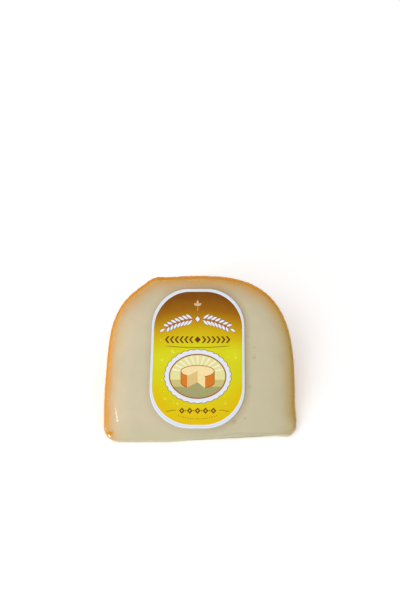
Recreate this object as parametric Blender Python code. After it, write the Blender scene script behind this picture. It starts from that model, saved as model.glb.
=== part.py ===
"""A wedge of Manchego cheese, sealed under vacuum in clear film, with a tall round-cornered label.

Units are metres and +Z is up. The wedge is one twelfth of a small wheel. It lies on one of its two
cut faces. The other, with the label, slopes up from the thin tip to the rind at the rim.
X runs along the axis of the wheel and +Y from the tip towards the rim. The film clings to the
cheese all over, so the two of them are one solid here.
"""

import math

import bmesh
import bpy
import numpy as np

# The wheel: its flat sides bulge a little, and the rind turns to the rim in one long curve.
WHEEL_RADIUS = 0.0943
WHEEL_HEIGHT = 0.1052
WEDGES_IN_WHEEL = 12
WEDGE_ANGLE = 2 * math.pi / WEDGES_IN_WHEEL
# The rind's section is |x / half height| ** ACROSS + (h / reach) ** ALONG = 1.
ACROSS_POWER = 2.6
ALONG_POWER = 4.5

# The tip: the two cuts stop short of the axis, further from it on the right than on the left.
# Each step is its rise and the places along the tip between which it rises.
TIP_RADIUS = 0.003
TIP_STEPS = ((0.0020, -0.020, 0.008), (0.0016, 0.008, 0.021), (-0.0004, 0.041, 0.047))

# The tip's two corners. The left one is round and the right one nearly straight: its outline is
# a curve |x| ** power + |y| ** power = 1, where 2 is a circle and 1 a straight line.
TIP_CORNER_LEFT = 0.0090
TIP_CORNER_RIGHT = 0.0042
TIP_CORNER_POWER_LEFT = 2.0
TIP_CORNER_POWER_RIGHT = 1.2

# The shoulder where the rind was pressed out of round, on the left of the rim.
SHOULDER_X = -0.0246
SHOULDER_RISE = 0.0019
SHOULDER_WIDTH = 0.0063

# The left side is pressed in a little halfway up, and the right side bulges near the tip.
PRESSED_IN = 0.0010
PRESSED_IN_HEIGHT = 0.046
PRESSED_IN_WIDTH = 0.018
BULGE = 0.0007
BULGE_HEIGHT = 0.0119
BULGE_WIDTH = 0.0055
SIDES_START = 0.030
SIDES_END = 0.048

# The edges between a cut face and the rind, rounded by the pull of the film.
EDGE_ROUND = 0.0025
EDGE_SHARE_OF_THICKNESS = 0.45

# The label, on the film over the upper cut face. It widens downwards, more on the left than on
# the right: each taper is the share of the half width that is gained at the label's foot.
LABEL_WIDTH = 0.0512
LABEL_HEIGHT = 0.0761
LABEL_CORNER_TOP = 0.0203
LABEL_CORNER_BOTTOM = 0.0218
LABEL_TAPER_LEFT = 0.056
LABEL_TAPER_RIGHT = 0.009
LABEL_THICKNESS = 0.0004
LABEL_GAP = 0.0003
LABEL_X = -0.0010
LABEL_ABOVE_TIP = 0.0457

# How finely the solids are faceted.
OUTLINE_POINTS = 152
OUTLINE_SAMPLES = 400
EDGE_STEPS = 4
RIM_STEPS = 6
LABEL_CORNER_STEPS = 12

CHEESE_COLOUR = (0.60, 0.52, 0.33, 1.0)
LABEL_COLOUR = (0.70, 0.61, 0.03, 1.0)


def clear_scene():
    for obj in list(bpy.data.objects):
        bpy.data.objects.remove(obj, do_unlink=True)


def make_collection(name):
    collection = bpy.data.collections.new(name)
    bpy.context.scene.collection.children.link(collection)
    return collection


def make_material(name, colour, roughness, coat):
    material = bpy.data.materials.new(name)
    material.use_nodes = True
    shader = material.node_tree.nodes["Principled BSDF"]
    shader.inputs["Base Color"].default_value = colour
    shader.inputs["Roughness"].default_value = roughness
    shader.inputs["Coat Weight"].default_value = coat
    shader.inputs["Metallic"].default_value = 0.0
    return material


def smoothstep(value, low, high):
    t = np.clip((value - low) / (high - low), 0, 1)
    return t * t * (3 - 2 * t)


def corner(side, size, power):
    """Points of one corner of the tip, from the tip's edge up to the rind; side is 1 or -1."""
    angle = np.linspace(0, math.pi / 2, OUTLINE_SAMPLES)
    across = size * np.sin(angle) ** (2 / power)
    down = size * np.cos(angle) ** (2 / power)
    x = side * (WHEEL_HEIGHT / 2 - size + across)
    return np.stack([x, tip_height(side * WHEEL_HEIGHT / 2) + size - down], axis=1)


def tip_height(x):
    """How far the tip's edge stands above its lowest stretch."""
    return sum(rise * smoothstep(x, start, end) for rise, start, end in TIP_STEPS)


def rind_height(x):
    """The rind's height over the tip at x, on the crown of the section."""
    reach = WHEEL_RADIUS - TIP_RADIUS
    share = np.clip(np.abs(x) / (WHEEL_HEIGHT / 2), 0, 1) ** ACROSS_POWER
    shoulder = SHOULDER_RISE * np.exp(-(((x - SHOULDER_X) / SHOULDER_WIDTH) ** 2))
    return reach * (1 - share) ** (1 / ALONG_POWER) + shoulder


def rind_side(side, foot):
    """Half of the rind's section, from foot above the tip up to the crown; side is 1 or -1."""
    reach = WHEEL_RADIUS - TIP_RADIUS
    start = math.asin((foot / reach) ** (ALONG_POWER / 2))
    t = np.linspace(start, math.pi / 2, OUTLINE_SAMPLES)
    x = side * WHEEL_HEIGHT / 2 * np.cos(t) ** (2 / ACROSS_POWER)
    return np.stack([x, rind_height(x)], axis=1)


def side_shift(outline):
    """How far each of the outline's points moves along x: the pressed left side and the bulge."""
    x, height = outline[:, 0], outline[:, 1]
    pressed = PRESSED_IN * np.exp(-(((height - PRESSED_IN_HEIGHT) / PRESSED_IN_WIDTH) ** 2))
    bulge = BULGE * np.exp(-(((height - BULGE_HEIGHT) / BULGE_WIDTH) ** 2))
    return np.where(x < 0, pressed, bulge) * smoothstep(np.abs(x), SIDES_START, SIDES_END)


def face_outline(count):
    """The cut face's outline, anticlockwise, as points (x, height above the tip)."""
    left, right = TIP_CORNER_LEFT, TIP_CORNER_RIGHT
    half = WHEEL_HEIGHT / 2
    tip_x = np.linspace(left - half, half - right, OUTLINE_SAMPLES)
    tip = np.stack([tip_x, tip_height(tip_x)], axis=1)
    right_corner = corner(1, right, TIP_CORNER_POWER_RIGHT)
    left_corner = corner(-1, left, TIP_CORNER_POWER_LEFT)[::-1]
    right_rind = rind_side(1, tip_height(half) + right)
    left_rind = rind_side(-1, left)[::-1]
    path = np.concatenate([tip, right_corner, right_rind, left_rind, left_corner])
    path[:, 0] += side_shift(path)
    steps = np.linalg.norm(np.diff(path, axis=0, append=path[:1]), axis=1)
    along = np.concatenate([[0], np.cumsum(steps)])
    path = np.concatenate([path, path[:1]])
    at = np.linspace(0, along[-1], count, endpoint=False)
    return np.stack([np.interp(at, along, path[:, axis]) for axis in (0, 1)], axis=1)


def inward_normals(outline):
    tangent = np.roll(outline, -1, axis=0) - np.roll(outline, 1, axis=0)
    tangent /= np.linalg.norm(tangent, axis=1)[:, None]
    return np.stack([-tangent[:, 1], tangent[:, 0]], axis=1)


def wedge_rings():
    """Closed rings of points, from the lower cut face round the rind to the upper cut face."""
    outline = face_outline(OUTLINE_POINTS)
    inward = inward_normals(outline)
    radius = TIP_RADIUS + outline[:, 1]
    rounding = np.minimum(EDGE_ROUND, EDGE_SHARE_OF_THICKNESS * WEDGE_ANGLE * radius)

    def ring(turn, from_top):
        """A ring of the rounded edge: turn is 0 at the rind and a right angle on the cut face."""
        moved = outline + inward * (rounding * (1 - math.cos(turn)))[:, None]
        r = TIP_RADIUS + moved[:, 1]
        angle = np.arcsin(rounding * (1 - math.sin(turn)) / r)
        return swept(moved[:, 0], r, WEDGE_ANGLE - angle if from_top else angle)

    turns = np.linspace(0, math.pi / 2, EDGE_STEPS + 1)
    lower = [ring(turn, False) for turn in turns[::-1]]
    upper = [ring(turn, True) for turn in turns]
    start = np.arcsin(rounding / radius)
    between = []
    for step in range(1, RIM_STEPS):
        share = step / RIM_STEPS
        angle = start + (WEDGE_ANGLE - 2 * start) * share
        between.append(swept(outline[:, 0], radius, angle))
    return lower + between + upper


def swept(x, radius, angle):
    """Points turned about the wheel's axis; angle 0 is the lower cut face."""
    return np.stack([x, radius * np.cos(angle), radius * np.sin(angle)], axis=1)


def loft(name, rings, material, collection):
    """A closed solid through the rings, with a flat face at each end."""
    bm = bmesh.new()
    loops = [[bm.verts.new(point) for point in ring] for ring in rings]
    for below, above in zip(loops, loops[1:]):
        for i in range(len(below)):
            j = (i + 1) % len(below)
            bm.faces.new((below[i], below[j], above[j], above[i]))
    bm.faces.new(loops[0])
    bm.faces.new(loops[-1])
    bmesh.ops.recalc_face_normals(bm, faces=bm.faces)
    mesh = bpy.data.meshes.new(name)
    bm.to_mesh(mesh)
    bm.free()
    mesh.materials.append(material)
    mesh.shade_smooth()
    mesh.set_sharp_from_angle(angle=math.radians(30))
    obj = bpy.data.objects.new(name, mesh)
    collection.objects.link(obj)
    return obj


def label_outline():
    """The label's outline: a rectangle with quarter circles for corners, tapered on both sides."""
    half_width, half_height = LABEL_WIDTH / 2, LABEL_HEIGHT / 2
    points = []
    for quarter, (side, end) in enumerate(((1, 1), (-1, 1), (-1, -1), (1, -1))):
        radius = LABEL_CORNER_TOP if end > 0 else LABEL_CORNER_BOTTOM
        taper = LABEL_TAPER_RIGHT if side > 0 else LABEL_TAPER_LEFT
        for step in range(LABEL_CORNER_STEPS + 1):
            angle = math.radians(90 * (quarter + step / LABEL_CORNER_STEPS))
            x = side * (half_width - radius) + radius * math.cos(angle)
            y = end * (half_height - radius) + radius * math.sin(angle)
            points.append((x * (1 - taper * y / half_height), y))
    return points


def make_label(material, collection, axis_empty):
    """The label as a flat plate, parallel to the upper cut face and just clear of the film."""
    curve = bpy.data.curves.new("label", "CURVE")
    curve.dimensions = "2D"
    curve.fill_mode = "BOTH"
    curve.extrude = LABEL_THICKNESS / 2
    points = label_outline()
    spline = curve.splines.new("POLY")
    spline.points.add(len(points) - 1)
    for point, (x, y) in zip(spline.points, points):
        point.co = (x, y, 0, 1)
    spline.use_cyclic_u = True
    curve.materials.append(material)
    label = bpy.data.objects.new("label", curve)
    collection.objects.link(label)
    up_face = TIP_RADIUS + LABEL_ABOVE_TIP
    off_face = LABEL_GAP + LABEL_THICKNESS / 2
    label.parent = axis_empty
    label.location = (
        LABEL_X,
        up_face * math.cos(WEDGE_ANGLE) - off_face * math.sin(WEDGE_ANGLE),
        up_face * math.sin(WEDGE_ANGLE) + off_face * math.cos(WEDGE_ANGLE),
    )
    label.rotation_euler = (WEDGE_ANGLE, 0, 0)
    return label


def make_wheel_axis(rings, collection):
    """An empty on the wheel's axis, placed so that the base's middle is the origin."""
    points = np.concatenate(rings)
    middle = (points.min(axis=0) + points.max(axis=0)) / 2
    axis_empty = bpy.data.objects.new("wheel_axis", None)
    axis_empty.location = (-middle[0], -middle[1], 0)
    collection.objects.link(axis_empty)
    return axis_empty


def main():
    clear_scene()
    collection = make_collection("manchego_wedge")
    cheese_material = make_material("cheese_in_film", CHEESE_COLOUR, 0.35, 1.0)
    label_material = make_material("label_paper", LABEL_COLOUR, 0.40, 0.5)
    rings = wedge_rings()
    axis_empty = make_wheel_axis(rings, collection)
    wedge = loft("cheese_in_film", rings, cheese_material, collection)
    wedge.parent = axis_empty
    make_label(label_material, collection, axis_empty)


main()
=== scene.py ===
"""The looks of a wedge of Manchego cheese, vacuum packed in clear film, with a tall round-cornered label.

Units are metres and +Z is up. The wedge lies on its lower cut face and the labelled cut face slopes up
from the tip. Most shapes are worked out in the wheel's own terms: x along the wheel's axis, the height
over the tip along a cut face, and the angle turned about the axis, which is 0 on the lower cut face.
The label's print is drawn in millimetres from the label's centre.
"""

import logging
import math
from dataclasses import dataclass, field, replace
from enum import Enum

import bpy
import numpy as np
from mathutils import Matrix, Vector, noise
from mathutils.geometry import delaunay_2d_cdt


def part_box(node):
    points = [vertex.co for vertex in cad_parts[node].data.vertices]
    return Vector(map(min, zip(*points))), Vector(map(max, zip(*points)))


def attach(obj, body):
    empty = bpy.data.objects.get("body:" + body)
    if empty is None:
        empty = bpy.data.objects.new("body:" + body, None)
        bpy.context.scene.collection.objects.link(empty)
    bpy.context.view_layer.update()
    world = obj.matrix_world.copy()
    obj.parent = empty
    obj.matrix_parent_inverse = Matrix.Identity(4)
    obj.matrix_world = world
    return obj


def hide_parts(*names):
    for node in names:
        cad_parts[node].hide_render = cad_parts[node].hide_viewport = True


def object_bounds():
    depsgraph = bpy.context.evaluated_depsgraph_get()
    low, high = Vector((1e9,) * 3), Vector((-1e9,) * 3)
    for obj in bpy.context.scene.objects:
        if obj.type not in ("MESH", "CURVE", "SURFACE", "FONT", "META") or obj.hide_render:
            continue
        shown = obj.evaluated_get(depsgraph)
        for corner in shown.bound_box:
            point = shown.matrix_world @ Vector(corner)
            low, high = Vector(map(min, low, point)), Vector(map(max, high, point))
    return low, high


Colour = tuple[float, float, float, float]
Stops = tuple[tuple[float, tuple[int, int, int]], ...]
Pair = tuple[float, float]
Triple = tuple[float, float, float]
Outline = list[Pair]
Array = np.ndarray
Piece = bpy.types.Object
Material = bpy.types.Material
Tree = bpy.types.NodeTree
Node = bpy.types.Node
Socket = bpy.types.NodeSocket

MM = 0.001
LOG = logging.getLogger("manchego")

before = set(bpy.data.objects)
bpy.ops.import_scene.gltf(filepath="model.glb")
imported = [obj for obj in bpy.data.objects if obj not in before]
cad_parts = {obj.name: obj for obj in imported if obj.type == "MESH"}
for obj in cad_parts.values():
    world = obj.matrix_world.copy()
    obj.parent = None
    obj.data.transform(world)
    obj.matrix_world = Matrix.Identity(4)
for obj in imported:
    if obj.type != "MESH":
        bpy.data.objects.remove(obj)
CAD_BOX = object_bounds()


class Region(Enum):
    """Which part of the wedge's skin a point belongs to."""

    LOWER_CUT = 0
    RIND = 1
    UPPER_CUT = 2


class Ink(Enum):
    """The label's inks, as red, green, blue and cover; GROUND shows the paper's own colour field."""

    GROUND = (0, 0, 0, 0.0)
    BORDER = (215, 222, 233, 1.0)
    BORDER_LINE = (192, 199, 214, 1.0)
    WHITE = (218, 229, 240, 1.0)
    OUTLINE = (157, 95, 30, 1.0)
    DARK = (108, 50, 18, 1.0)
    RULE = (140, 100, 22, 1.0)
    MARK = (170, 122, 24, 1.0)
    SKY = (219, 214, 150, 1.0)
    SUN = (232, 230, 196, 1.0)
    BOARD = (158, 154, 106, 1.0)
    FIELD = (196, 184, 116, 1.0)
    CRUST = (206, 118, 38, 1.0)
    CRUST_DARK = (170, 88, 26, 1.0)
    PASTE = (236, 214, 158, 1.0)
    PASTE_SHADE = (214, 184, 122, 1.0)
    BEAD = (214, 186, 150, 0.85)
    GLOW = (232, 228, 90, 0.40)
    SPARK = (240, 240, 170, 0.75)


def linear(red: float, green: float, blue: float, cover: float = 1.0) -> Colour:
    """Turns a colour as it is seen into the linear one that Blender works in.

    Args:
        red: Red, from 0 to 255.
        green: Green, from 0 to 255.
        blue: Blue, from 0 to 255.
        cover: The fourth value, kept as it is.

    Returns:
        The linear colour with its cover.
    """
    seen = [value / 255 for value in (red, green, blue)]
    made = [s / 12.92 if s <= 0.04045 else ((s + 0.055) / 1.055) ** 2.4 for s in seen]
    return (made[0], made[1], made[2], cover)


def smoothstep(value: Array, low: float, high: float) -> Array:
    """The values eased from 0 where they are low to 1 where they are high."""
    t = np.clip((value - low) / (high - low), 0, 1)
    return t * t * (3 - 2 * t)


def zigzag(value: Array) -> Array:
    """A triangle wave: 1 at whole numbers and 0 halfway between them."""
    return 2 * np.abs(value - np.floor(value) - 0.5)


def strands(value: Array) -> Array:
    """The height of round strands side by side: 1 along a strand's crown and 0 in the groove."""
    across = 2 * (value - np.floor(value)) - 1
    return np.sqrt(np.clip(1 - across**2, 0, 1))


@dataclass(frozen=True)
class Clouds:
    """Soft noise from about -1 to 1: the size of its patches, its seed and how many finer layers it has."""

    size: float
    seed: int
    layers: int = 2

    def at(self, points: Array) -> Array:
        """The noise at each of the points, one a row; each seed reads another stretch of it."""
        places = points / self.size + 37.0 * self.seed
        return np.array([noise.fractal(Vector(place), 1.0, 2.0, self.layers) for place in places])


def distance_to_path(x: Array, height: Array, path: Array) -> tuple[Array, Array]:
    """How far points lie from an open path in the plane of a cut face.

    Args:
        x: The points' first coordinate.
        height: The points' second coordinate.
        path: The path's own points, one a row.

    Returns:
        The distances, and the share of the path's length at which each point is nearest to it.
    """
    best = np.full(len(x), np.inf)
    share = np.zeros(len(x))
    legs = np.linalg.norm(np.diff(path, axis=0), axis=1)
    before = np.concatenate([[0], np.cumsum(legs)])
    for i, (start, end) in enumerate(zip(path, path[1:])):
        leg = end - start
        t = np.clip(((x - start[0]) * leg[0] + (height - start[1]) * leg[1]) / legs[i] ** 2, 0, 1)
        gap = np.hypot(x - start[0] - t * leg[0], height - start[1] - t * leg[1])
        nearer = gap < best
        best = np.where(nearer, gap, best)
        share = np.where(nearer, (before[i] + t * legs[i]) / before[-1], share)
    return best, share


def inside(points: Array, outline: Array) -> Array:
    """Which points lie inside a closed outline, by counting its crossings to one side.

    Args:
        points: The points to test, one a row.
        outline: The outline's points in order, one a row.

    Returns:
        True for each point inside.
    """
    result = np.zeros(len(points), bool)
    for start, end in zip(outline, np.roll(outline, -1, axis=0)):
        if start[1] == end[1]:
            continue
        spans = (start[1] > points[:, 1]) != (end[1] > points[:, 1])
        crossing = start[0] + (points[:, 1] - start[1]) * (end[0] - start[0]) / (end[1] - start[1])
        result ^= spans & (points[:, 0] < crossing)
    return result


def nearest(points: Array, others: Array) -> Array:
    """How far points lie from the nearest of some others.

    Args:
        points: The points, one a row.
        others: The others, one a row.

    Returns:
        One distance for each point.
    """
    found = np.full(len(points), np.inf)
    for other in others:
        found = np.minimum(found, np.hypot(points[:, 0] - other[0], points[:, 1] - other[1]))
    return found


def interior_points(outline: Array, spacing: float, margin: float) -> Array:
    """Points of an even grid of triangles that lie inside an outline and clear of it.

    Args:
        outline: The outline's points, one a row.
        spacing: The distance between the grid's neighbours.
        margin: How far the points stay from the outline's own points.

    Returns:
        The points, one a row.
    """
    low, high = outline.min(axis=0), outline.max(axis=0)
    rows = []
    for number, y in enumerate(np.arange(low[1], high[1], spacing * math.sqrt(3) / 2)):
        x = np.arange(low[0] + (spacing / 2) * (number % 2), high[0], spacing)
        rows.append(np.stack([x, np.full(len(x), y)], axis=1))
    grid = np.concatenate(rows)
    grid = grid[inside(grid, outline)]
    return grid[nearest(grid, outline) > margin]


def new_object(name: str, points: Array, faces: list[tuple[int, ...]], material: Material) -> Piece:
    """Makes a smooth mesh object and puts it in the scene.

    Args:
        name: The piece's name.
        points: Its vertices, one a row.
        faces: Its faces, as indices into the points.
        material: What it is made of.

    Returns:
        The new object.
    """
    mesh = bpy.data.meshes.new(name)
    mesh.from_pydata(points.tolist(), [], faces)
    mesh.materials.append(material)
    mesh.shade_smooth()
    mesh.update()
    piece = bpy.data.objects.new(name, mesh)
    bpy.context.scene.collection.objects.link(piece)
    return piece


def set_values(piece: Piece, name: str, values: Array) -> None:
    """Stores one number for each vertex of a piece, under the name that its material reads."""
    attribute = piece.data.attributes.new(name, "FLOAT", "POINT")
    attribute.data.foreach_set("value", values.astype(np.float32))


@dataclass
class Graph:
    """A shader tree that is being built."""

    tree: Tree

    def add(self, kind: str, inputs: dict | None = None, **settings) -> Node:
        """Adds a node.

        Args:
            kind: The node's type.
            inputs: What goes into its sockets, by name or number: a value or another node's socket.
            settings: The node's own settings.

        Returns:
            The node.
        """
        node = self.tree.nodes.new(kind)
        for name, value in settings.items():
            setattr(node, name, value)
        for name, value in (inputs or {}).items():
            self.feed(node.inputs[name], value)
        return node

    def feed(self, socket: Socket, value: object) -> None:
        """Gives a socket a link or a plain value.

        Args:
            socket: The socket.
            value: Another node's socket, or the value.
        """
        if isinstance(value, Socket):
            self.tree.links.new(value, socket)
        else:
            socket.default_value = value

    def math(self, operation: str, *values: object) -> Socket:
        """The result of one Math node."""
        return self.add("ShaderNodeMath", dict(enumerate(values)), operation=operation).outputs[0]

    def remap(self, value: object, low: float, high: float) -> Socket:
        """Stretches a value with soft ends, so that low gives 0 and high gives 1."""
        ends = {"Value": value, "From Min": low, "From Max": high}
        return self.add("ShaderNodeMapRange", ends, interpolation_type="SMOOTHSTEP").outputs["Result"]

    def falling(self, value: object, low: float, high: float) -> Socket:
        """The other way round: low gives 1 and high gives 0."""
        return self.math("SUBTRACT", 1.0, self.remap(value, low, high))

    def noise(self, place: Socket, scale: object, detail: float) -> Socket:
        """Soft noise from 0 to 1, read at a place."""
        inputs = {"Vector": place, "Scale": scale, "Detail": detail}
        return self.add("ShaderNodeTexNoise", inputs).outputs["Fac"]

    def bump(self, height: Socket, strength: float, distance: float) -> Socket:
        """The normal of a fine relief, where a height of 1 stands the distance off, in metres."""
        inputs = {"Height": height, "Strength": strength, "Distance": distance}
        return self.add("ShaderNodeBump", inputs).outputs["Normal"]

    def mix(self, share: object, first: object, second: object, blend: str = "MIX") -> Socket:
        """Blends two colours.

        Args:
            share: How much of the second there is.
            first: The first colour.
            second: The second colour.
            blend: Blender's name for the way they blend.

        Returns:
            The blended colour.
        """
        values = {0: share, 6: first, 7: second}
        node = self.add("ShaderNodeMix", values, data_type="RGBA", blend_type=blend)
        return node.outputs[2]

    def ramp(self, share: object, stops: Stops, reach: float) -> Socket:
        """Runs through seen colours.

        Args:
            share: Where along the ramp to read, from 0 to reach.
            stops: Places from 0 to reach, each with its colour as seen.
            reach: The place of the ramp's far end.

        Returns:
            The colour.
        """
        node = self.add("ShaderNodeValToRGB", {0: self.math("DIVIDE", share, reach)})
        elements = node.color_ramp.elements
        while len(elements) > 1:
            elements.remove(elements[-1])
        for number, (place, colour) in enumerate(stops):
            element = elements[0] if number == 0 else elements.new(place / reach)
            element.position = place / reach
            element.color = linear(*colour)
        return node.outputs["Color"]

    def attribute(self, name: str, output: str = "Fac") -> Socket:
        """Reads a value that the mesh carries."""
        return self.add("ShaderNodeAttribute", attribute_name=name).outputs[output]

    def place(self) -> Socket:
        """The point on the piece, in its own coordinates."""
        return self.add("ShaderNodeTexCoord").outputs["Object"]

    def group(self, tree: Tree, **inputs: object) -> Node:
        """Places an effect's group, with its inputs given by their names in small letters."""
        named = {name.capitalize(): value for name, value in inputs.items()}
        return self.add("ShaderNodeGroup", named, node_tree=tree)


def new_group(name: str, inputs: dict[str, str], outputs: dict[str, str]) -> tuple[Tree, Graph, Node, Node]:
    """Starts a shader node group.

    Args:
        name: The group's name.
        inputs: For each input, what kind of socket it is.
        outputs: For each output, what kind of socket it is.

    Returns:
        The group's tree, its graph, its input node and its output node.
    """
    tree = bpy.data.node_groups.new(name, "ShaderNodeTree")
    for way, sockets in (("INPUT", inputs), ("OUTPUT", outputs)):
        for label, kind in sockets.items():
            tree.interface.new_socket(label, in_out=way, socket_type=f"NodeSocket{kind}")
    graph = Graph(tree)
    return tree, graph, graph.add("NodeGroupInput"), graph.add("NodeGroupOutput")


@dataclass
class Effects:
    """The effects that more than one material uses, each a node group that is built once.

    Specks and cells are the finer layers: fineness is how much finer than the first layer they are.
    """

    patch_edges: Pair = (0.34, 0.68)
    speck_fineness: float = 14.0
    speck_strength: float = 0.5
    cell_fineness: float = 5.0
    cell_strength: float = 0.18
    mottle: Tree = field(init=False)
    ripples: Tree = field(init=False)

    def __post_init__(self) -> None:
        """Builds the groups."""
        self.mottle = self._mottle()
        self.ripples = self._ripples()

    def _mottle(self) -> Tree:
        """Uneven patches: one colour shading into another by large clouds and fine specks.

        Returns:
            The group's tree.
        """
        inputs = {"Place": "Vector", "First": "Color", "Second": "Color", "Scale": "Float", "Amount": "Float"}
        tree, graph, given, out = new_group("mottle", inputs, {"Color": "Color", "Mask": "Float"})
        place, scale = given.outputs["Place"], given.outputs["Scale"]
        patches = graph.remap(graph.noise(place, scale, 5.0), *self.patch_edges)
        fine = graph.noise(place, graph.math("MULTIPLY", scale, self.speck_fineness), 2.0)
        specks = graph.math("MULTIPLY", graph.math("SUBTRACT", fine, 0.5), self.speck_strength)
        mask = graph.math("MULTIPLY", graph.math("ADD", patches, specks), given.outputs["Amount"])
        graph.feed(out.inputs["Mask"], mask)
        graph.feed(out.inputs["Color"], graph.mix(mask, given.outputs["First"], given.outputs["Second"]))
        return tree

    def _ripples(self) -> Tree:
        """The fine unevenness of stretched film, which also shows on what sticks to it.

        Returns:
            The group's tree.
        """
        inputs = {"Place": "Vector", "Scale": "Float", "Stretch": "Float"}
        tree, graph, given, out = new_group("ripples", inputs, {"Height": "Float"})
        place, scale = given.outputs["Place"], given.outputs["Scale"]
        longer = graph.add("ShaderNodeCombineXYZ", {0: given.outputs["Stretch"], 1: 1.0, 2: 1.0})
        drawn = graph.add("ShaderNodeVectorMath", {0: place, 1: longer.outputs[0]}, operation="MULTIPLY")
        waves = graph.noise(drawn.outputs[0], scale, 2.0)
        cells = graph.noise(place, graph.math("MULTIPLY", scale, self.cell_fineness), 3.0)
        small = graph.math("MULTIPLY", cells, self.cell_strength)
        graph.feed(out.inputs["Height"], graph.math("ADD", waves, small))
        return tree


def new_material(name: str) -> tuple[Material, Graph, Node]:
    """Starts a material with nothing but its output.

    Args:
        name: The material's name.

    Returns:
        The material, its graph and its output node.
    """
    material = bpy.data.materials.new(name)
    material.use_nodes = True
    material.node_tree.nodes.clear()
    graph = Graph(material.node_tree)
    return material, graph, graph.add("ShaderNodeOutputMaterial")


@dataclass(frozen=True)
class CheeseFinish:
    """Cream paste that turns tan and orange towards the rind, and the orange, woven rind itself.

    left, crown and right give the paste's colour by its depth from the rind in millimetres, up to reach.
    Besides the orange that soaks in from the rind, the left ramp is lighter as painted light from the left
    and the right ramp darker as painted shade.
    Lengths along the tip are in millimetres too, and each share is how much of a colour shows.
    """

    reach: float = 16.0
    left: tuple = (
        (0.0, (218, 138, 10)), (0.3, (217, 140, 16)), (0.8, (216, 145, 30)), (1.9, (214, 153, 66)),
        (3.0, (217, 170, 104)), (4.1, (216, 181, 131)), (5.3, (217, 188, 146)), (7.5, (215, 197, 162)),
        (11.0, (212, 198, 167)), (15.5, (206, 195, 165)),
    )
    crown: tuple = (
        (0.0, (238, 147, 3)), (0.6, (228, 142, 8)), (1.2, (213, 146, 32)), (2.2, (202, 146, 58)),
        (3.3, (198, 152, 84)), (4.4, (197, 159, 103)), (6.0, (197, 165, 122)), (8.2, (195, 173, 139)),
        (11.0, (198, 183, 150)), (15.5, (203, 193, 163)),
    )
    right: tuple = (
        (0.0, (198, 147, 30)), (0.6, (187, 144, 40)), (1.2, (176, 143, 60)), (2.2, (175, 149, 86)),
        (3.3, (179, 155, 101)), (4.4, (182, 162, 115)), (6.0, (186, 170, 130)), (8.2, (192, 180, 146)),
        (11.0, (195, 185, 153)), (15.5, (198, 189, 158)),
    )
    groove: tuple = (126, 72, 24)
    rind_tone: tuple = (208, 148, 64)
    chalk: tuple = (232, 190, 126)
    eye: tuple = (150, 138, 104)
    oil: tuple = (218, 142, 0)
    cream: tuple = (186, 181, 152)
    near_tip: tuple = (196, 190, 157)
    # The colour that the painted shadow beside the label multiplies the paste by.
    label_edge_painted_shadow: tuple = (239, 231, 224)
    # The tip's paler strip is a painted highlight.
    tip_strip: float = 1.4
    tip_strip_fade: float = 0.3
    tip_strip_share: float = 0.45
    painted_tip_highlight: tuple = (212, 204, 170)
    tip_line: tuple = (186, 174, 138)
    tip_line_over: float = 0.15
    tip_line_half: float = 0.3
    tip_line_share: float = 0.28
    near_tip_reach: tuple = (1.0, 12.0)
    near_tip_share: float = 0.5
    patchy: float = 0.30
    patchy_from: tuple = (1.5, 8.0)
    patch_scale: float = 70.0
    soak_scale: float = 110.0
    soak_wander: float = 0.55
    rind_tone_share: float = 0.6
    rind_starts: float = 0.2
    chalk_scale: float = 150.0
    chalk_amount: float = 0.55
    grain_scale: float = 900.0
    drag_scale: tuple = (18.0, 260.0, 260.0)
    drag_share: float = 0.6
    grain_bump: tuple = (0.22, 0.25 * MM)
    roughness: float = 0.42
    chalk_roughness: float = 0.25
    specular: float = 0.12
    glow: float = 0.08
    glow_tint: tuple = (1.0, 0.55, 0.25)
    glow_reach: float = 2.5 * MM

    def material(self, effects: Effects) -> Material:
        """Builds the material.

        Args:
            effects: The shared node groups.

        Returns:
            The material, which reads the attributes that Cheese stores.
        """
        material, graph, out = new_material("cheese_paste_and_rind")
        place = graph.place()
        depth = self._uneven_depth(graph, place)
        side = graph.attribute("side")
        ramps = (graph.ramp(depth, stops, self.reach) for stops in (self.left, self.crown, self.right))
        left, crown, right = ramps
        # The side mask blends in the left ramp, lighter as painted light, and the right ramp, darker as
        # painted shade.
        colour = graph.mix(graph.math("MULTIPLY", side, -1.0), crown, left)
        colour = graph.mix(side, colour, right)
        inner = graph.math("MULTIPLY", graph.remap(depth, *self.patchy_from), self.patchy)
        cream, chalk = linear(*self.cream), linear(*self.chalk)
        patches = graph.group(
            effects.mottle, place=place, first=colour, second=cream, scale=self.patch_scale, amount=inner
        )
        paste = self._tip(graph, patches.outputs["Color"])
        away = graph.math("MULTIPLY", graph.attribute("rind"), self.rind_tone_share)
        base = graph.mix(away, colour, linear(*self.rind_tone))
        chalky = graph.group(
            effects.mottle,
            place=place,
            first=base,
            second=chalk,
            scale=self.chalk_scale,
            amount=self.chalk_amount,
        )
        rind = graph.mix(graph.attribute("cavity"), chalky.outputs["Color"], linear(*self.groove))
        skin = graph.mix(graph.falling(graph.attribute("depth"), 0.0, self.rind_starts), paste, rind)
        skin = graph.mix(graph.attribute("stain"), skin, linear(*self.eye))
        skin = graph.mix(graph.attribute("oil"), skin, linear(*self.oil))
        # Painted shadow of the label's edge, strongest at its right.
        skin = graph.mix(graph.attribute("shade"), skin, linear(*self.label_edge_painted_shadow), "MULTIPLY")
        chalky_part = graph.math("MULTIPLY", chalky.outputs["Mask"], self.chalk_roughness)
        shader = graph.add(
            "ShaderNodeBsdfPrincipled",
            {
                "Base Color": skin, "Roughness": graph.math("ADD", self.roughness, chalky_part),
                "Specular IOR Level": self.specular, "Subsurface Weight": self.glow,
                "Subsurface Radius": self.glow_tint, "Subsurface Scale": self.glow_reach,
                "Normal": self._grain(graph, place),
            },
        )
        graph.feed(out.inputs["Surface"], shader.outputs["BSDF"])
        return material

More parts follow.
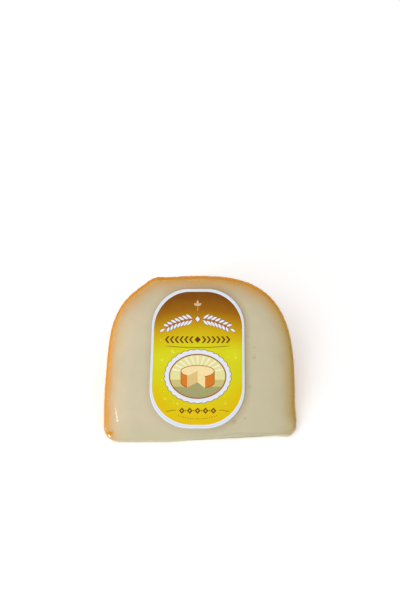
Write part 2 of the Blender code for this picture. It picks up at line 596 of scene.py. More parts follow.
    def _uneven_depth(self, graph: Graph, place: Socket) -> Socket:
        """The distance from the rind in millimetres, wandering a little as the colour soaks in.

        Args:
            graph: The material's graph.
            place: The point on the piece.

        Returns:
            The depth's socket.
        """
        wander = graph.math("SUBTRACT", graph.noise(place, self.soak_scale, 4.0), 0.5)
        shift = graph.math("MULTIPLY", wander, self.soak_wander)
        return graph.math("MULTIPLY", graph.attribute("depth"), graph.math("ADD", 1.0, shift))

    def _tip(self, graph: Graph, paste: Socket) -> Socket:
        """The paler strip along the tip, a painted highlight where its rounded edge catches the light, with a
        fine darker line over it.

        Args:
            graph: The material's graph.
            paste: The paste's colour.

        Returns:
            The colour with the strip.
        """
        tip = graph.attribute("tip")
        # The paler strip is a painted highlight along the tip's rounded edge.
        strip = graph.falling(tip, self.tip_strip - self.tip_strip_fade, self.tip_strip)
        away = graph.math("ABSOLUTE", graph.math("SUBTRACT", tip, self.tip_strip + self.tip_line_over))
        line = graph.math("MULTIPLY", graph.falling(away, 0.0, self.tip_line_half), self.tip_line_share)
        near = graph.math("MULTIPLY", graph.falling(tip, *self.near_tip_reach), self.near_tip_share)
        paste = graph.mix(near, paste, linear(*self.near_tip))
        strip = graph.math("MULTIPLY", strip, self.tip_strip_share)
        return graph.mix(line, graph.mix(strip, paste, linear(*self.painted_tip_highlight)), linear(*self.tip_line))

    def _grain(self, graph: Graph, place: Socket) -> Socket:
        """The paste's close grain and the drag of the cutting wire.

        Args:
            graph: The material's graph.
            place: The point on the piece.

        Returns:
            The normal's socket.
        """
        stretched = graph.add("ShaderNodeMapping", {"Vector": place, "Scale": self.drag_scale})
        drag = graph.math("MULTIPLY", graph.noise(stretched.outputs[0], 1.0, 2.0), self.drag_share)
        height = graph.math("ADD", graph.noise(place, self.grain_scale, 4.0), drag)
        return graph.bump(height, *self.grain_bump)


@dataclass(frozen=True)
class FilmFinish:
    """Clear, glossy film: what is behind it shows, with the light's reflection on top.

    head_on is the share of light that it reflects when seen square on, on_rind what is added to it where
    the film lies loose on the rind, and aslant what is added when it is seen along its surface.
    """

    head_on: float = 0.030
    on_rind: float = 0.075
    aslant: float = 0.12
    steepness: float = 5.0
    roughness: float = 0.11
    tint: tuple = (0.985, 0.985, 0.98, 1.0)
    ripple_scale: float = 70.0
    ripple_stretch: float = 2.5
    ripple_bump: tuple = (0.30, 0.25 * MM)

    def material(self, effects: Effects) -> Material:
        """Builds the material.

        Args:
            effects: The shared node groups.

        Returns:
            The material, which reads the attribute rind.
        """
        material, graph, out = new_material("clear_film")
        ripples = graph.group(
            effects.ripples, place=graph.place(), scale=self.ripple_scale, stretch=self.ripple_stretch
        )
        normal = graph.bump(ripples.outputs["Height"], *self.ripple_bump)
        gloss = graph.add("ShaderNodeBsdfGlossy", {"Roughness": self.roughness, "Normal": normal})
        clear = graph.add("ShaderNodeBsdfTransparent", {"Color": self.tint})
        turned = graph.add("ShaderNodeLayerWeight", {"Blend": 0.5, "Normal": normal})
        steep = graph.math("POWER", turned.outputs["Facing"], self.steepness)
        least = graph.math("MULTIPLY_ADD", graph.attribute("rind"), self.on_rind, self.head_on)
        share = graph.math("MULTIPLY_ADD", steep, self.aslant, least)
        sockets = {0: share, 1: clear.outputs["BSDF"], 2: gloss.outputs["BSDF"]}
        graph.feed(out.inputs["Surface"], graph.add("ShaderNodeMixShader", sockets).outputs[0])
        return material


@dataclass(frozen=True)
class LabelFinish:
    """Varnished paper: a field that runs from brown over yellow to gold, with the inks on it.

    Places and lengths are in millimetres from the label's centre; the field's stops start at its bottom.
    Each light is a soft round glow: its centre's two coordinates, its radius and its strength.
    """

    field_stops: tuple = (
        (0.0, (218, 180, 6)), (9.0, (215, 185, 8)), (17.0, (206, 187, 6)), (22.0, (204, 198, 9)),
        (38.0, (203, 200, 24)), (44.0, (203, 198, 16)), (49.0, (203, 186, 7)), (54.0, (198, 163, 4)),
        (59.0, (181, 134, 4)), (65.0, (148, 94, 6)), (72.0, (122, 70, 8)), (78.0, (112, 62, 9)),
    )
    field_bottom: float = 38.0
    field_height: float = 78.0
    bend: float = 0.0065
    lights: tuple = ((0.0, -9.6, 27.0, 0.60), (-20.0, 0.0, 8.0, 0.30), (20.0, 3.0, 8.0, 0.40))
    light_colour: tuple = (216, 216, 40)
    sides: tuple = (12.0, 27.0)
    sides_below: tuple = (-6.0, -24.0)
    side_colour: tuple = (218, 178, 6)
    roughness: float = 0.34
    worn_roughness: float = 6.0
    specular: float = 0.07
    worn_colour: tuple = (236, 226, 120)
    worn_scale: float = 240.0
    worn_amount: float = 0.012
    ripple_scale: float = 60.0
    ripple_stretch: float = 1.5
    ripple_bump: tuple = (0.16, 0.25 * MM)

    def material(self, effects: Effects) -> Material:
        """Builds the material.

        Args:
            effects: The shared node groups.

        Returns:
            The material, which reads the attributes print_place, in millimetres, and ink.
        """
        material, graph, out = new_material("varnished_paper")
        place = graph.place()
        ink = graph.add("ShaderNodeAttribute", attribute_name="ink")
        printed = graph.mix(ink.outputs["Alpha"], self._ground(graph), ink.outputs["Color"])
        worn = graph.group(
            effects.mottle,
            place=place,
            first=printed,
            second=linear(*self.worn_colour),
            scale=self.worn_scale,
            amount=self.worn_amount,
        )
        ripples = graph.group(
            effects.ripples, place=place, scale=self.ripple_scale, stretch=self.ripple_stretch
        )
        rougher = graph.math("MULTIPLY", worn.outputs["Mask"], self.worn_roughness)
        shader = graph.add(
            "ShaderNodeBsdfPrincipled",
            {
                "Base Color": worn.outputs["Color"],
                "Roughness": graph.math("ADD", self.roughness, rougher),
                "Specular IOR Level": self.specular,
                "Normal": graph.bump(ripples.outputs["Height"], *self.ripple_bump),
            },
        )
        graph.feed(out.inputs["Surface"], shader.outputs["BSDF"])
        return material

    def _ground(self, graph: Graph) -> Socket:
        """The colour field under the inks, bent upwards at the middle, with its gold sides and its lights.

        Args:
            graph: The material's graph.

        Returns:
            The colour's socket.
        """
        at = graph.attribute("print_place", "Vector")
        split = graph.add("ShaderNodeSeparateXYZ", {0: at})
        x, y = split.outputs[0], split.outputs[1]
        bend = graph.math("MULTIPLY", graph.math("MULTIPLY", x, x), self.bend)
        raised = graph.math("ADD", graph.math("ADD", y, self.field_bottom), bend)
        ground = graph.ramp(raised, self.field_stops, self.field_height)
        outer = graph.remap(graph.math("ABSOLUTE", x), *self.sides)
        lower = graph.remap(y, *self.sides_below)
        ground = graph.mix(graph.math("MULTIPLY", outer, lower), ground, linear(*self.side_colour))
        for centre_x, centre_y, size, strength in self.lights:
            centre = (centre_x, centre_y, 0.0)
            away = graph.add("ShaderNodeVectorMath", {0: at, 1: centre}, operation="DISTANCE")
            near = graph.remap(away.outputs["Value"], size, 0.0)
            ground = graph.mix(graph.math("MULTIPLY", near, strength), ground, linear(*self.light_colour))
        return ground


@dataclass(frozen=True)
class FloorFinish:
    """A plain pale floor."""

    tone: tuple = (252, 252, 252)
    patch: tuple = (247, 247, 248)
    patch_scale: float = 3.0
    patch_amount: float = 0.5
    lift: float = 0.17
    lift_colour: tuple = (1.0, 1.0, 1.0, 1.0)
    roughness: float = 0.7
    specular: float = 0.2

    def material(self, effects: Effects) -> Material:
        """Builds the material.

        Args:
            effects: The shared node groups.

        Returns:
            The material.
        """
        material, graph, out = new_material("pale_floor")
        tone = graph.group(
            effects.mottle,
            place=graph.place(),
            first=linear(*self.tone),
            second=linear(*self.patch),
            scale=self.patch_scale,
            amount=self.patch_amount,
        )
        shader = graph.add(
            "ShaderNodeBsdfPrincipled",
            {
                "Base Color": tone.outputs["Color"], "Roughness": self.roughness,
                "Specular IOR Level": self.specular, "Emission Color": self.lift_colour,
                "Emission Strength": self.lift,
            },
        )
        graph.feed(out.inputs["Surface"], shader.outputs["BSDF"])
        return material


@dataclass
class Wedge:
    """The form of the wedge, with the same sizes as the frame's solid, and its place in the frame's box."""

    height: float = 0.1052
    radius: float = 0.0943
    angle: float = math.radians(30)
    across_power: float = 2.6
    along_power: float = 4.5
    tip_radius: float = 0.003
    tip_steps: tuple = ((0.0020, -0.020, 0.008), (0.0016, 0.008, 0.021), (-0.0004, 0.041, 0.047))
    corner_left: float = 0.0090
    corner_right: float = 0.0042
    corner_power_left: float = 2.0
    corner_power_right: float = 1.2
    shoulder_x: float = -0.0246
    shoulder_rise: float = 0.0019
    shoulder_width: float = 0.0063
    pressed_in: float = 0.0010
    pressed_in_height: float = 0.046
    pressed_in_width: float = 0.018
    bulge: float = 0.0007
    bulge_height: float = 0.0119
    bulge_width: float = 0.0055
    sides_start: float = 0.030
    sides_end: float = 0.048
    edge_round: float = 0.0025
    edge_share: float = 0.45
    samples: int = 900
    box_spacing: float = 0.0002
    box_samples: int = 2001
    turn_samples: int = 200
    axis_x: float = field(init=False)
    axis_y: float = field(init=False)

    def __post_init__(self) -> None:
        """Finds the wheel's axis from the frame's box, of which the rim's lower edge is the back."""
        across = self.outline(self.box_spacing)[:, 0]
        shares = np.linspace(-0.5, 0.5, self.box_samples)
        crown = self.tip_radius + self.rind_height(shares * self.height).max()
        turns = np.linspace(0, math.pi / 2, self.turn_samples)
        rounded = crown - self.edge_round * (1 - np.cos(turns))
        lean = np.arcsin(self.edge_round * (1 - np.sin(turns)) / rounded)
        self.axis_x = (CAD_BOX[0].x + CAD_BOX[1].x - across.min() - across.max()) / 2
        self.axis_y = CAD_BOX[1].y - (rounded * np.cos(lean)).max()

    def tip_height(self, x: Array) -> Array:
        """How far the tip's edge stands above its lowest stretch."""
        return sum(rise * smoothstep(x, start, end) for rise, start, end in self.tip_steps)

    def rind_height(self, x: Array) -> Array:
        """How high the rind stands over the tip.

        Args:
            x: The places along the wheel's axis.

        Returns:
            The heights.
        """
        reach = self.radius - self.tip_radius
        share = np.clip(np.abs(x) / (self.height / 2), 0, 1) ** self.across_power
        shoulder = self.shoulder_rise * np.exp(-(((x - self.shoulder_x) / self.shoulder_width) ** 2))
        return reach * (1 - share) ** (1 / self.along_power) + shoulder

    def rind_side(self, side: int, foot: float) -> Array:
        """Half of the rind's section.

        Args:
            side: 1 for the right half and -1 for the left one.
            foot: The height over the tip at which it starts.

        Returns:
            Points (x, height) up to the crown.
        """
        reach = self.radius - self.tip_radius
        start = math.asin((foot / reach) ** (self.along_power / 2))
        t = np.linspace(start, math.pi / 2, self.samples)
        x = side * self.height / 2 * np.cos(t) ** (2 / self.across_power)
        return np.stack([x, self.rind_height(x)], axis=1)

    def corner(self, side: int, size: float, power: float) -> Array:
        """One corner of the tip.

        Args:
            side: 1 for the right corner and -1 for the left one.
            size: How far it reaches along both edges.
            power: 2 for a round corner and 1 for a straight cut.

        Returns:
            Points (x, height) from the tip's edge up to the rind.
        """
        turn = np.linspace(0, math.pi / 2, self.samples)
        across, down = size * np.sin(turn) ** (2 / power), size * np.cos(turn) ** (2 / power)
        x = side * (self.height / 2 - size + across)
        return np.stack([x, self.tip_height(side * self.height / 2) + size - down], axis=1)

    def side_shift(self, outline: Array) -> Array:
        """How far each point moves along x: the left side is pressed in, the right one bulges.

        Args:
            outline: The points (x, height over the tip), one a row.

        Returns:
            The moves.
        """
        x, height = outline[:, 0], outline[:, 1]
        pressed = np.exp(-(((height - self.pressed_in_height) / self.pressed_in_width) ** 2))
        bulge = np.exp(-(((height - self.bulge_height) / self.bulge_width) ** 2))
        shift = np.where(x < 0, self.pressed_in * pressed, self.bulge * bulge)
        return shift * smoothstep(np.abs(x), self.sides_start, self.sides_end)

    def outline(self, spacing: float) -> Array:
        """The cut face's outline.

        Args:
            spacing: The distance between its points.

        Returns:
            Points (x, height over the tip), anticlockwise from the middle of the crown.
        """
        left, right, half = self.corner_left, self.corner_right, self.height / 2
        tip_x = np.linspace(left - half, half - right, self.samples)
        path = np.concatenate(
            [
                self.rind_side(-1, left)[::-1],
                self.corner(-1, left, self.corner_power_left)[::-1],
                np.stack([tip_x, self.tip_height(tip_x)], axis=1),
                self.corner(1, right, self.corner_power_right),
                self.rind_side(1, self.tip_height(half) + right),
            ]
        )
        path[:, 0] += self.side_shift(path)
        steps = np.linalg.norm(np.diff(path, axis=0, append=path[:1]), axis=1)
        along = np.concatenate([[0], np.cumsum(steps)])
        closed = np.concatenate([path, path[:1]])
        at = np.linspace(0, along[-1], round(along[-1] / spacing), endpoint=False)
        return np.stack([np.interp(at, along, closed[:, axis]) for axis in (0, 1)], axis=1)

    def place(self, x: Array, radius: Array, angle: Array) -> Array:
        """World points from x along the wheel's axis, a radius, and an angle from the lower cut face."""
        y = self.axis_y + radius * np.cos(angle)
        return np.stack([self.axis_x + x, y, radius * np.sin(angle)], axis=1)

    def face_point(self, x: float, height: float) -> Array:
        """The world point at x and height over the tip on the labelled cut face."""
        return self.place(np.array([x]), np.array([self.tip_radius + height]), np.array([self.angle]))[0]

    def face_normal(self) -> Vector:
        """The direction that the labelled cut face looks in."""
        return Vector((0, -math.sin(self.angle), math.cos(self.angle)))

    def face_up(self) -> Vector:
        """The direction from the tip to the rind on the labelled cut face."""
        return Vector((0, math.cos(self.angle), math.sin(self.angle)))


def left_of(steps: Array) -> Array:
    """The directions square to some steps in a plane and to their left, one a row."""
    along = steps / np.linalg.norm(steps, axis=1)[:, None]
    return np.stack([-along[:, 1], along[:, 0]], axis=1)


@dataclass
class Skin:
    """A fine closed mesh over the wedge, with the coordinates that relief and colour are worked out from.

    The wedge gives the form, and extra the places on the upper cut face that need finer faces. spacing is
    the distance between the outline's points, and a margin is a share of the spacing of a cut face.
    """

    wedge: Wedge
    extra: Array
    spacing: float = 0.00056
    rim_steps: int = 84
    edge_steps: int = 8
    upper_spacing: float = 0.0011
    lower_spacing: float = 0.0022
    rind_turn: float = 0.80
    rim_margin: float = 0.6
    extra_margin: float = 0.35
    same_point: float = 1e-6
    face_edges: tuple = (0.35, 0.9)
    faces: list = field(init=False, default_factory=list)

    def __post_init__(self) -> None:
        """Builds the rings round the rind and then the two cut faces."""
        self.outline = self.wedge.outline(self.spacing)
        self._columns: dict[str, list[Array]] = {k: [] for k in ("x", "r", "angle", "arc", "region")}
        self.inward = left_of(np.roll(self.outline, -1, axis=0) - np.roll(self.outline, 1, axis=0))
        count = len(self.outline)
        arc = np.arange(count) * self.spacing
        self.arc = np.where(arc > arc[-1] / 2, arc - arc[-1] - self.spacing, arc)
        rings = self._rings()
        for x, r, angle in rings:
            self._append(x, r, angle, self.arc, Region.RIND)
        self._side_faces(len(rings), count)
        self._cap(0, rings[0], Region.LOWER_CUT, self.lower_spacing, np.zeros((0, 2)))
        self._cap(len(rings) - 1, rings[-1], Region.UPPER_CUT, self.upper_spacing, self.extra)
        stacked = {name: np.concatenate(parts) for name, parts in self._columns.items()}
        self.x, self.r, self.angle = stacked["x"], stacked["r"], stacked["angle"]
        self.arc, self.region = stacked["arc"], stacked["region"]
        self.height = self.r - self.wedge.tip_radius
        self.points = self.wedge.place(self.x, self.r, self.angle)
        self.normals = self._normals()
        self.depth = self._depth()

    def _append(self, x: Array, r: Array, angle: float, arc: Array, region: Region) -> None:
        """Adds points to the skin's columns.

        Args:
            x: Their places along the wheel's axis.
            r: Their radii.
            angle: Their angle, or one for each.
            arc: Their places along the outline.
            region: Where on the skin they are.
        """
        angles = np.broadcast_to(angle, x.shape)
        for name, values in zip(self._columns, (x, r, angles, arc, np.full(len(x), region.value))):
            self._columns[name].append(np.array(values, float))

    def _rings(self) -> list[tuple[Array, Array, Array]]:
        """The rings of points, from the lower cut face round the rind to the upper one.

        Returns:
            For each ring, x, the radius and the angle of its points.
        """
        wedge, outline = self.wedge, self.outline
        radius = wedge.tip_radius + outline[:, 1]
        rounding = np.minimum(wedge.edge_round, wedge.edge_share * wedge.angle * radius)

        def edge(turn: float, upper: bool) -> tuple[Array, Array, Array]:
            """One ring of a rounded edge.

            Args:
                turn: How far from the rind towards the cut face it is, up to a quarter turn.
                upper: Whether it is the labelled face's edge.

            Returns:
                Its x, radius and angle.
            """
            moved = outline + self.inward * (rounding * (1 - math.cos(turn)))[:, None]
            r = wedge.tip_radius + moved[:, 1]
            lean = np.arcsin(rounding * (1 - math.sin(turn)) / r)
            return moved[:, 0], r, wedge.angle - lean if upper else lean

        turns = np.linspace(0, math.pi / 2, self.edge_steps + 1)
        start = np.arcsin(rounding / radius)
        shares = np.arange(1, self.rim_steps) / self.rim_steps
        between = [(outline[:, 0], radius, start + (wedge.angle - 2 * start) * s) for s in shares]
        lower = [edge(turn, False) for turn in turns[::-1]]
        upper = [edge(turn, True) for turn in turns]
        return lower + between + upper

    def _side_faces(self, rings: int, count: int) -> None:
        """Joins each ring to the next one with four-sided faces.

        Args:
            rings: How many rings there are.
            count: How many points each has.
        """
        for ring in range(rings - 1):
            low, high = ring * count, (ring + 1) * count
            for i in range(count):
                j = (i + 1) % count
                self.faces.append((low + i, low + j, high + j, high + i))

    def _cap(self, ring: int, edge: tuple, region: Region, spacing: float, extra: Array) -> None:
        """Fills a cut face with even triangles.

        Args:
            ring: The number of the ring that bounds it.
            edge: That ring's x, radius and angle.
            region: Which cut face this is.
            spacing: The distance between its points.
            extra: More points, (x, radius), where the faces are finer.
        """
        outline = np.stack([edge[0], edge[1]], axis=1)
        points = interior_points(outline, spacing, self.rim_margin * spacing)
        if len(extra):
            extra = extra[inside(extra, outline)]
            clear = nearest(points, extra) > self.extra_margin * spacing
            points = np.concatenate([points[clear], extra])
        everything = [Vector(point) for point in np.concatenate([outline, points]) / MM]
        count = len(outline)
        found = delaunay_2d_cdt(everything, [], [list(range(count))], 1, self.same_point, True)
        first = sum(len(part) for part in self._columns["x"])
        numbers, added = [], []
        for spot, sources in zip(found[0], found[3]):
            rim = [source for source in sources if source < count]
            if rim:
                numbers.append(ring * count + rim[0])
            else:
                numbers.append(first + len(added))
                added.append((spot[0] * MM, spot[1] * MM))
        made = np.array(added)
        flat = 0.0 if region is Region.LOWER_CUT else self.wedge.angle
        self._append(made[:, 0], made[:, 1], flat, np.zeros(len(made)), region)
        for face in found[2]:
            corners = tuple(numbers[i] for i in face)
            self.faces.append(corners if region is Region.UPPER_CUT else corners[::-1])

    def _normals(self) -> Array:
        """The directions that the skin's vertices look in.

        Returns:
            One direction outwards for each point.
        """
        mesh = bpy.data.meshes.new("skin_for_normals")
        mesh.from_pydata(self.points.tolist(), [], self.faces)
        mesh.update()
        normals = np.zeros(len(self.points) * 3, np.float32)
        mesh.vertices.foreach_get("normal", normals)
        bpy.data.meshes.remove(mesh)
        return normals.reshape(-1, 3).astype(float)

    def _depth(self) -> Array:
        """How far each point of a cut face lies from the rind, in metres, 0 on the rind itself."""
        rind = self.outline[self.inward[:, 1] < self.rind_turn]
        return nearest(np.column_stack([self.x, self.height]), rind)

    def upper(self) -> Array:
        """1 on the labelled cut face and its rounded edge, 0 elsewhere."""
        return smoothstep(self.normals @ np.array(self.wedge.face_normal()), *self.face_edges)

    def moved(self, out: Array) -> Array:
        """The skin's points moved outwards along its normals."""
        return self.points + self.normals * out[:, None]


@dataclass
class Relief:
    """The rind's relief, in metres outwards.

    The rim has the print of a braided mat, in bands of slanting strands. The wheel's flat sides have the
    press board's, in ears of short ridges. Each pair of edges is where something starts and is complete.
    """

    skin: Skin
    band: float = 0.0125
    strand: float = 0.0034
    strand_lean: float = 0.62
    strand_at_seam: float = 0.55
    seam_half: float = 0.10
    weave_depth: float = 0.00058
    board_pitch: float = 0.0046
    board_depth: float = 0.00036
    board_share: float = 0.6
    ear_turn: float = math.radians(10.0)
    ear_lean: float = 0.0052
    ear_drift: float = 0.010
    drift: float = 0.0010
    rim_half_width: float = 0.040
    rim_fade: float = 0.016
    least_print: float = 0.30
    worn_edges: tuple = (-0.55, 0.15)
    turned_edges: tuple = (0.86, 0.99)
    tip_edges: tuple = (0.004, 0.012)
    cut_edges: tuple = (0.2, 6.5)
    cut_drift: float = 1.3
    strand_clouds: Clouds = Clouds(0.012, 51)
    band_clouds: Clouds = Clouds(0.015, 52)
    worn_clouds: Clouds = Clouds(0.013, 53, 3)
    ear_clouds: Clouds = Clouds(0.014, 54)
    ridge_clouds: Clouds = Clouds(0.012, 55)
    cut_clouds: Clouds = Clouds(0.010, 56)

    def on_rind(self) -> Array:
        """How much of each point is rind.

        Returns:
            1 on the rind, fading to 0 at the cut faces and along the tip.
        """
        skin = self.skin
        faces_out = np.abs(skin.normals @ np.array(skin.wedge.face_normal()))
        beyond_tip = smoothstep(skin.height, *self.tip_edges)
        turned = 1 - smoothstep(faces_out, *self.turned_edges)
        lower = 1 - smoothstep(-skin.normals[:, 2], *self.turned_edges)
        return np.where(skin.region == Region.RIND.value, turned * lower * beyond_tip, 0)

    def away_from_cuts(self) -> Array:
        """How far round the rind each point is.

        Returns:
            0 along the cut faces' edges, rising to 1 a few millimetres further on.
        """
        skin = self.skin
        turned = np.minimum(skin.angle, skin.wedge.angle - skin.angle) * skin.r
        uneven = turned / MM + self.cut_drift * self.cut_clouds.at(skin.points)
        return smoothstep(uneven, *self.cut_edges) * self.on_rind()

    def weave(self) -> Array:
        """The braided mat's print on the rim.

        Returns:
            1 on a strand and 0 in a groove.
        """
        skin = self.skin
        round_rim = skin.angle * skin.wedge.radius + self.drift * self.strand_clouds.at(skin.points)
        bands = (skin.arc + self.drift * self.band_clouds.at(skin.points)) / self.band
        lean = zigzag(bands) * self.band * self.strand_lean
        seam = smoothstep(np.minimum(zigzag(bands), 1 - zigzag(bands)), 0.0, self.seam_half)
        full = self.strand_at_seam + (1 - self.strand_at_seam) * seam
        return 1 - (1 - strands((round_rim + lean) / self.strand) * full) * self.worn()

    def worn(self) -> Array:
        """How much of the print is left, less in the patches where the rind was rubbed."""
        patches = smoothstep(self.worn_clouds.at(self.skin.points), *self.worn_edges)
        return self.least_print + (1 - self.least_print) * patches

    def board(self) -> Array:
        """The press board's print on the wheel's flat sides.

        Returns:
            1 on a ridge and 0 in a groove.
        """
        skin = self.skin
        ears = (skin.angle + self.ear_drift * self.ear_clouds.at(skin.points)) / self.ear_turn
        lean = zigzag(ears) * self.ear_lean + self.drift * self.ridge_clouds.at(skin.points)
        return 1 - (1 - strands((skin.r + lean) / self.board_pitch)) * self.worn()

    def rim_share(self) -> Array:
        """1 on the rim, where the mat's print is, and 0 on the wheel's flat sides."""
        return 1 - smoothstep(np.abs(self.skin.arc), self.rim_half_width, self.rim_half_width + self.rim_fade)

    def cavity(self) -> Array:
        """How deep in a groove of the rind each point is.

        Returns:
            0 on a crown, up to 1 in a groove.
        """
        share = self.rim_share()
        deep = (1 - self.weave()) * share + (1 - self.board()) * (1 - share) * self.board_share
        return deep * self.on_rind()

    def rind(self) -> Array:
        """The prints' grooves.

        Returns:
            The relief in metres outwards, none of it above 0.
        """
        share = self.rim_share()
        woven = (1 - self.weave()) * self.weave_depth * share
        pressed = (1 - self.board()) * self.board_depth * (1 - share)
        return -(woven + pressed) * self.on_rind()


@dataclass
class Eye:
    """A small hole or mark in the paste: x and height over the tip, radius, depth and darkness."""

    x: float
    height: float
    radius: float
    depth: float
    dark: float


@dataclass
class Cheese:
    """The cheese itself: paste on the cut faces and rind round the rest.

    The marks on the labelled face are in millimetres, in the order of Eye's fields. The rings are the
    shares of a mark's radius that get finer faces, with their numbers of points.
    """

    wedge: Wedge
    finish: CheeseFinish = field(default_factory=CheeseFinish)
    under_film: float = 0.00022
    waviness: float = 0.00008
    graininess: float = 0.00018
    pit_depth: float = 0.00030
    pit_edges: tuple = (0.40, 0.62)
    pit_darkness: float = 0.4
    groove_darkness: float = 0.85
    wave_clouds: Clouds = Clouds(0.019, 3, 3)
    grain_clouds: Clouds = Clouds(0.0024, 7, 3)
    pit_clouds: Clouds = Clouds(0.0030, 8)
    mark_clouds: Clouds = Clouds(0.0016, 11)
    mark_rings: tuple = ((0.4, 6), (0.8, 9), (1.25, 12))
    mark_uneven: float = 0.25
    hollow_edges: tuple = (0.2, 1.15)
    stain_edges: tuple = (0.0, 1.3)
    marks: tuple = (
        (30.0, 52.1, 0.80, 0.22, 0.30), (30.2, 46.5, 0.65, 0.26, 0.42), (26.6, 58.2, 0.75, 0.25, 0.30),
        (25.2, 13.4, 0.80, 0.25, 0.38), (19.0, 11.7, 1.70, 0.18, 0.34), (27.6, 30.8, 1.20, 0.12, 0.22),
    )
    oil_at: tuple = (-0.0493, 0.0049)
    oil_size: tuple = (0.0028, 0.0015)
    oil_tilt: float = 0.12
    oil_edges: tuple = (0.45, 1.2)
    shade_reach: tuple = (0.0006, 0.0043)
    shade_at_left: float = 0.45
    shade_edges: tuple = (0.35, 0.95)
    crown_edges: tuple = (0.52, 1.02)
    side_reach: float = 0.72
    tip_drift: float = 0.25
    lower_seed: int = 5
    lower_marks: int = 34
    lower_x: tuple = (-0.044, 0.044)
    lower_height: tuple = (0.008, 0.080)
    lower_size: tuple = (0.0022, 0.0040)
    lower_depth: float = 0.0003

    def eyes(self) -> list[Eye]:
        """The marks on the labelled cut face."""
        return [Eye(x * MM, h * MM, radius * MM, deep * MM, dark) for x, h, radius, deep, dark in self.marks]

    def fine_places(self) -> Array:
        """Places on the labelled cut face that need finer faces for the marks.

        Returns:
            Points (x, radius from the axis), one a row.
        """
        places = []
        for eye in self.eyes():
            places.append((eye.x, eye.height + self.wedge.tip_radius))
            for share, count in self.mark_rings:
                for turn in np.linspace(0, 2 * math.pi, count, endpoint=False):
                    across = eye.radius * share
                    at = (eye.x + across * math.cos(turn), eye.height + across * math.sin(turn))
                    places.append((at[0], at[1] + self.wedge.tip_radius))
        return np.array(places)

    def eye_relief(self, skin: Skin) -> tuple[Array, Array]:
        """The marks' hollows and how dark each point is.

        Args:
            skin: The fine mesh.

        Returns:
            The relief in metres outwards, and the darkness from 0 to 1.
        """
        relief, dark = np.zeros(len(skin.x)), np.zeros(len(skin.x))
        rough = self.mark_clouds.at(skin.points)
        for eye in self.eyes():
            away = np.hypot(skin.x - eye.x, skin.height - eye.height) / eye.radius
            away = away * (1 + self.mark_uneven * rough)
            relief -= eye.depth * (1 - smoothstep(away, *self.hollow_edges)) * skin.upper()
            dark = np.maximum(dark, eye.dark * (1 - smoothstep(away, *self.stain_edges)) * skin.upper())
        return relief, dark

    def lower_relief(self, skin: Skin) -> Array:
        """Small hollows spread over the lower cut face.

        Args:
            skin: The fine mesh.

        Returns:
            The relief in metres outwards.
        """
        draw = np.random.default_rng(self.lower_seed)
        relief = np.zeros(len(skin.x))
        below = skin.region == Region.LOWER_CUT.value
        for _ in range(self.lower_marks):
            x, height = draw.uniform(*self.lower_x), draw.uniform(*self.lower_height)
            away = np.hypot(skin.x - x, skin.height - height) / draw.uniform(*self.lower_size)
            relief -= np.where(below, self.lower_depth * (1 - smoothstep(away, 0.0, 1.0)), 0)
        return relief

    def oil(self, skin: Skin) -> Array:
        """The drop of orange that has gathered under the film at the left corner of the tip.

        Args:
            skin: The fine mesh.

        Returns:
            One value from 0 to 1 for each point.
        """
        across = skin.x - self.oil_at[0]
        up = (skin.height - self.oil_at[1] - self.oil_tilt * across) / self.oil_size[1]
        return (1 - smoothstep(np.hypot(across / self.oil_size[0], up), *self.oil_edges)) * skin.upper()

    def label_shade(self, skin: Skin, edge: Array) -> Array:
        """A painted shadow on the paste along the label's edge, which is strongest at its right.

        Args:
            skin: The fine mesh.
            edge: The label's outline, (x, height over the tip) a row.

        Returns:
            One value from 0 to 1 for each point.
        """
        away, _ = distance_to_path(skin.x, skin.height, np.concatenate([edge, edge[:1]]))
        low, high = edge.min(axis=0), edge.max(axis=0)
        to_right = smoothstep((skin.x - low[0]) / (high[0] - low[0]), *self.shade_edges)
        strength = self.shade_at_left + (1 - self.shade_at_left) * to_right
        return (1 - smoothstep(away, *self.shade_reach)) * strength * skin.upper()

    def build(self, skin: Skin, effects: Effects, label_edge: Array) -> tuple[Piece, Array]:
        """Builds the piece.

        Args:
            skin: The fine mesh that it is made from.
            effects: The shared node groups.
            label_edge: The label's outline on the cut face.

        Returns:
            The piece, and its surface's distance outwards from the skin.
        """
        relief = Relief(skin)
        hollows, dark = self.eye_relief(skin)
        fine = self.grain_clouds.at(skin.points)
        pits = smoothstep(self.pit_clouds.at(skin.points), *self.pit_edges)
        out = -self.under_film + relief.rind() + hollows + self.lower_relief(skin)
        out -= self.waviness * (1 + self.wave_clouds.at(skin.points)) * 0.5
        out -= (self.graininess * (1 + fine) * 0.5 + self.pit_depth * pits) * relief.on_rind()
        piece = new_object("cheese", skin.moved(out), skin.faces, self.finish.material(effects))
        set_values(piece, "depth", skin.depth / MM)
        # The side values pick the lighter left paste (painted light) and the darker right paste (painted
        # shade).
        set_values(piece, "side", self._side(skin))
        cavity = np.clip(relief.cavity() + self.pit_darkness * pits * relief.on_rind(), 0, 1)
        set_values(piece, "cavity", cavity * self.groove_darkness)
        set_values(piece, "rind", relief.away_from_cuts())
        set_values(piece, "stain", dark)
        set_values(piece, "oil", self.oil(skin))
        set_values(piece, "shade", self.label_shade(skin, label_edge))
        tip = (skin.height - self.wedge.tip_height(skin.x)) / MM + self.tip_drift * fine
        set_values(piece, "tip", tip)
        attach(piece, "root")
        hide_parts("cheese_in_film")
        return piece, out

    def _side(self, skin: Skin) -> Array:
        """Which side of the wheel each point is on.

        Args:
            skin: The fine mesh.

        Returns:
            -1 at the left side, 0 at the crown and 1 at the right side.
        """
        half = self.wedge.height / 2
        crown = smoothstep(skin.height / self.wedge.radius, *self.crown_edges)
        return np.clip(skin.x / (self.side_reach * half), -1, 1) * (1 - crown)


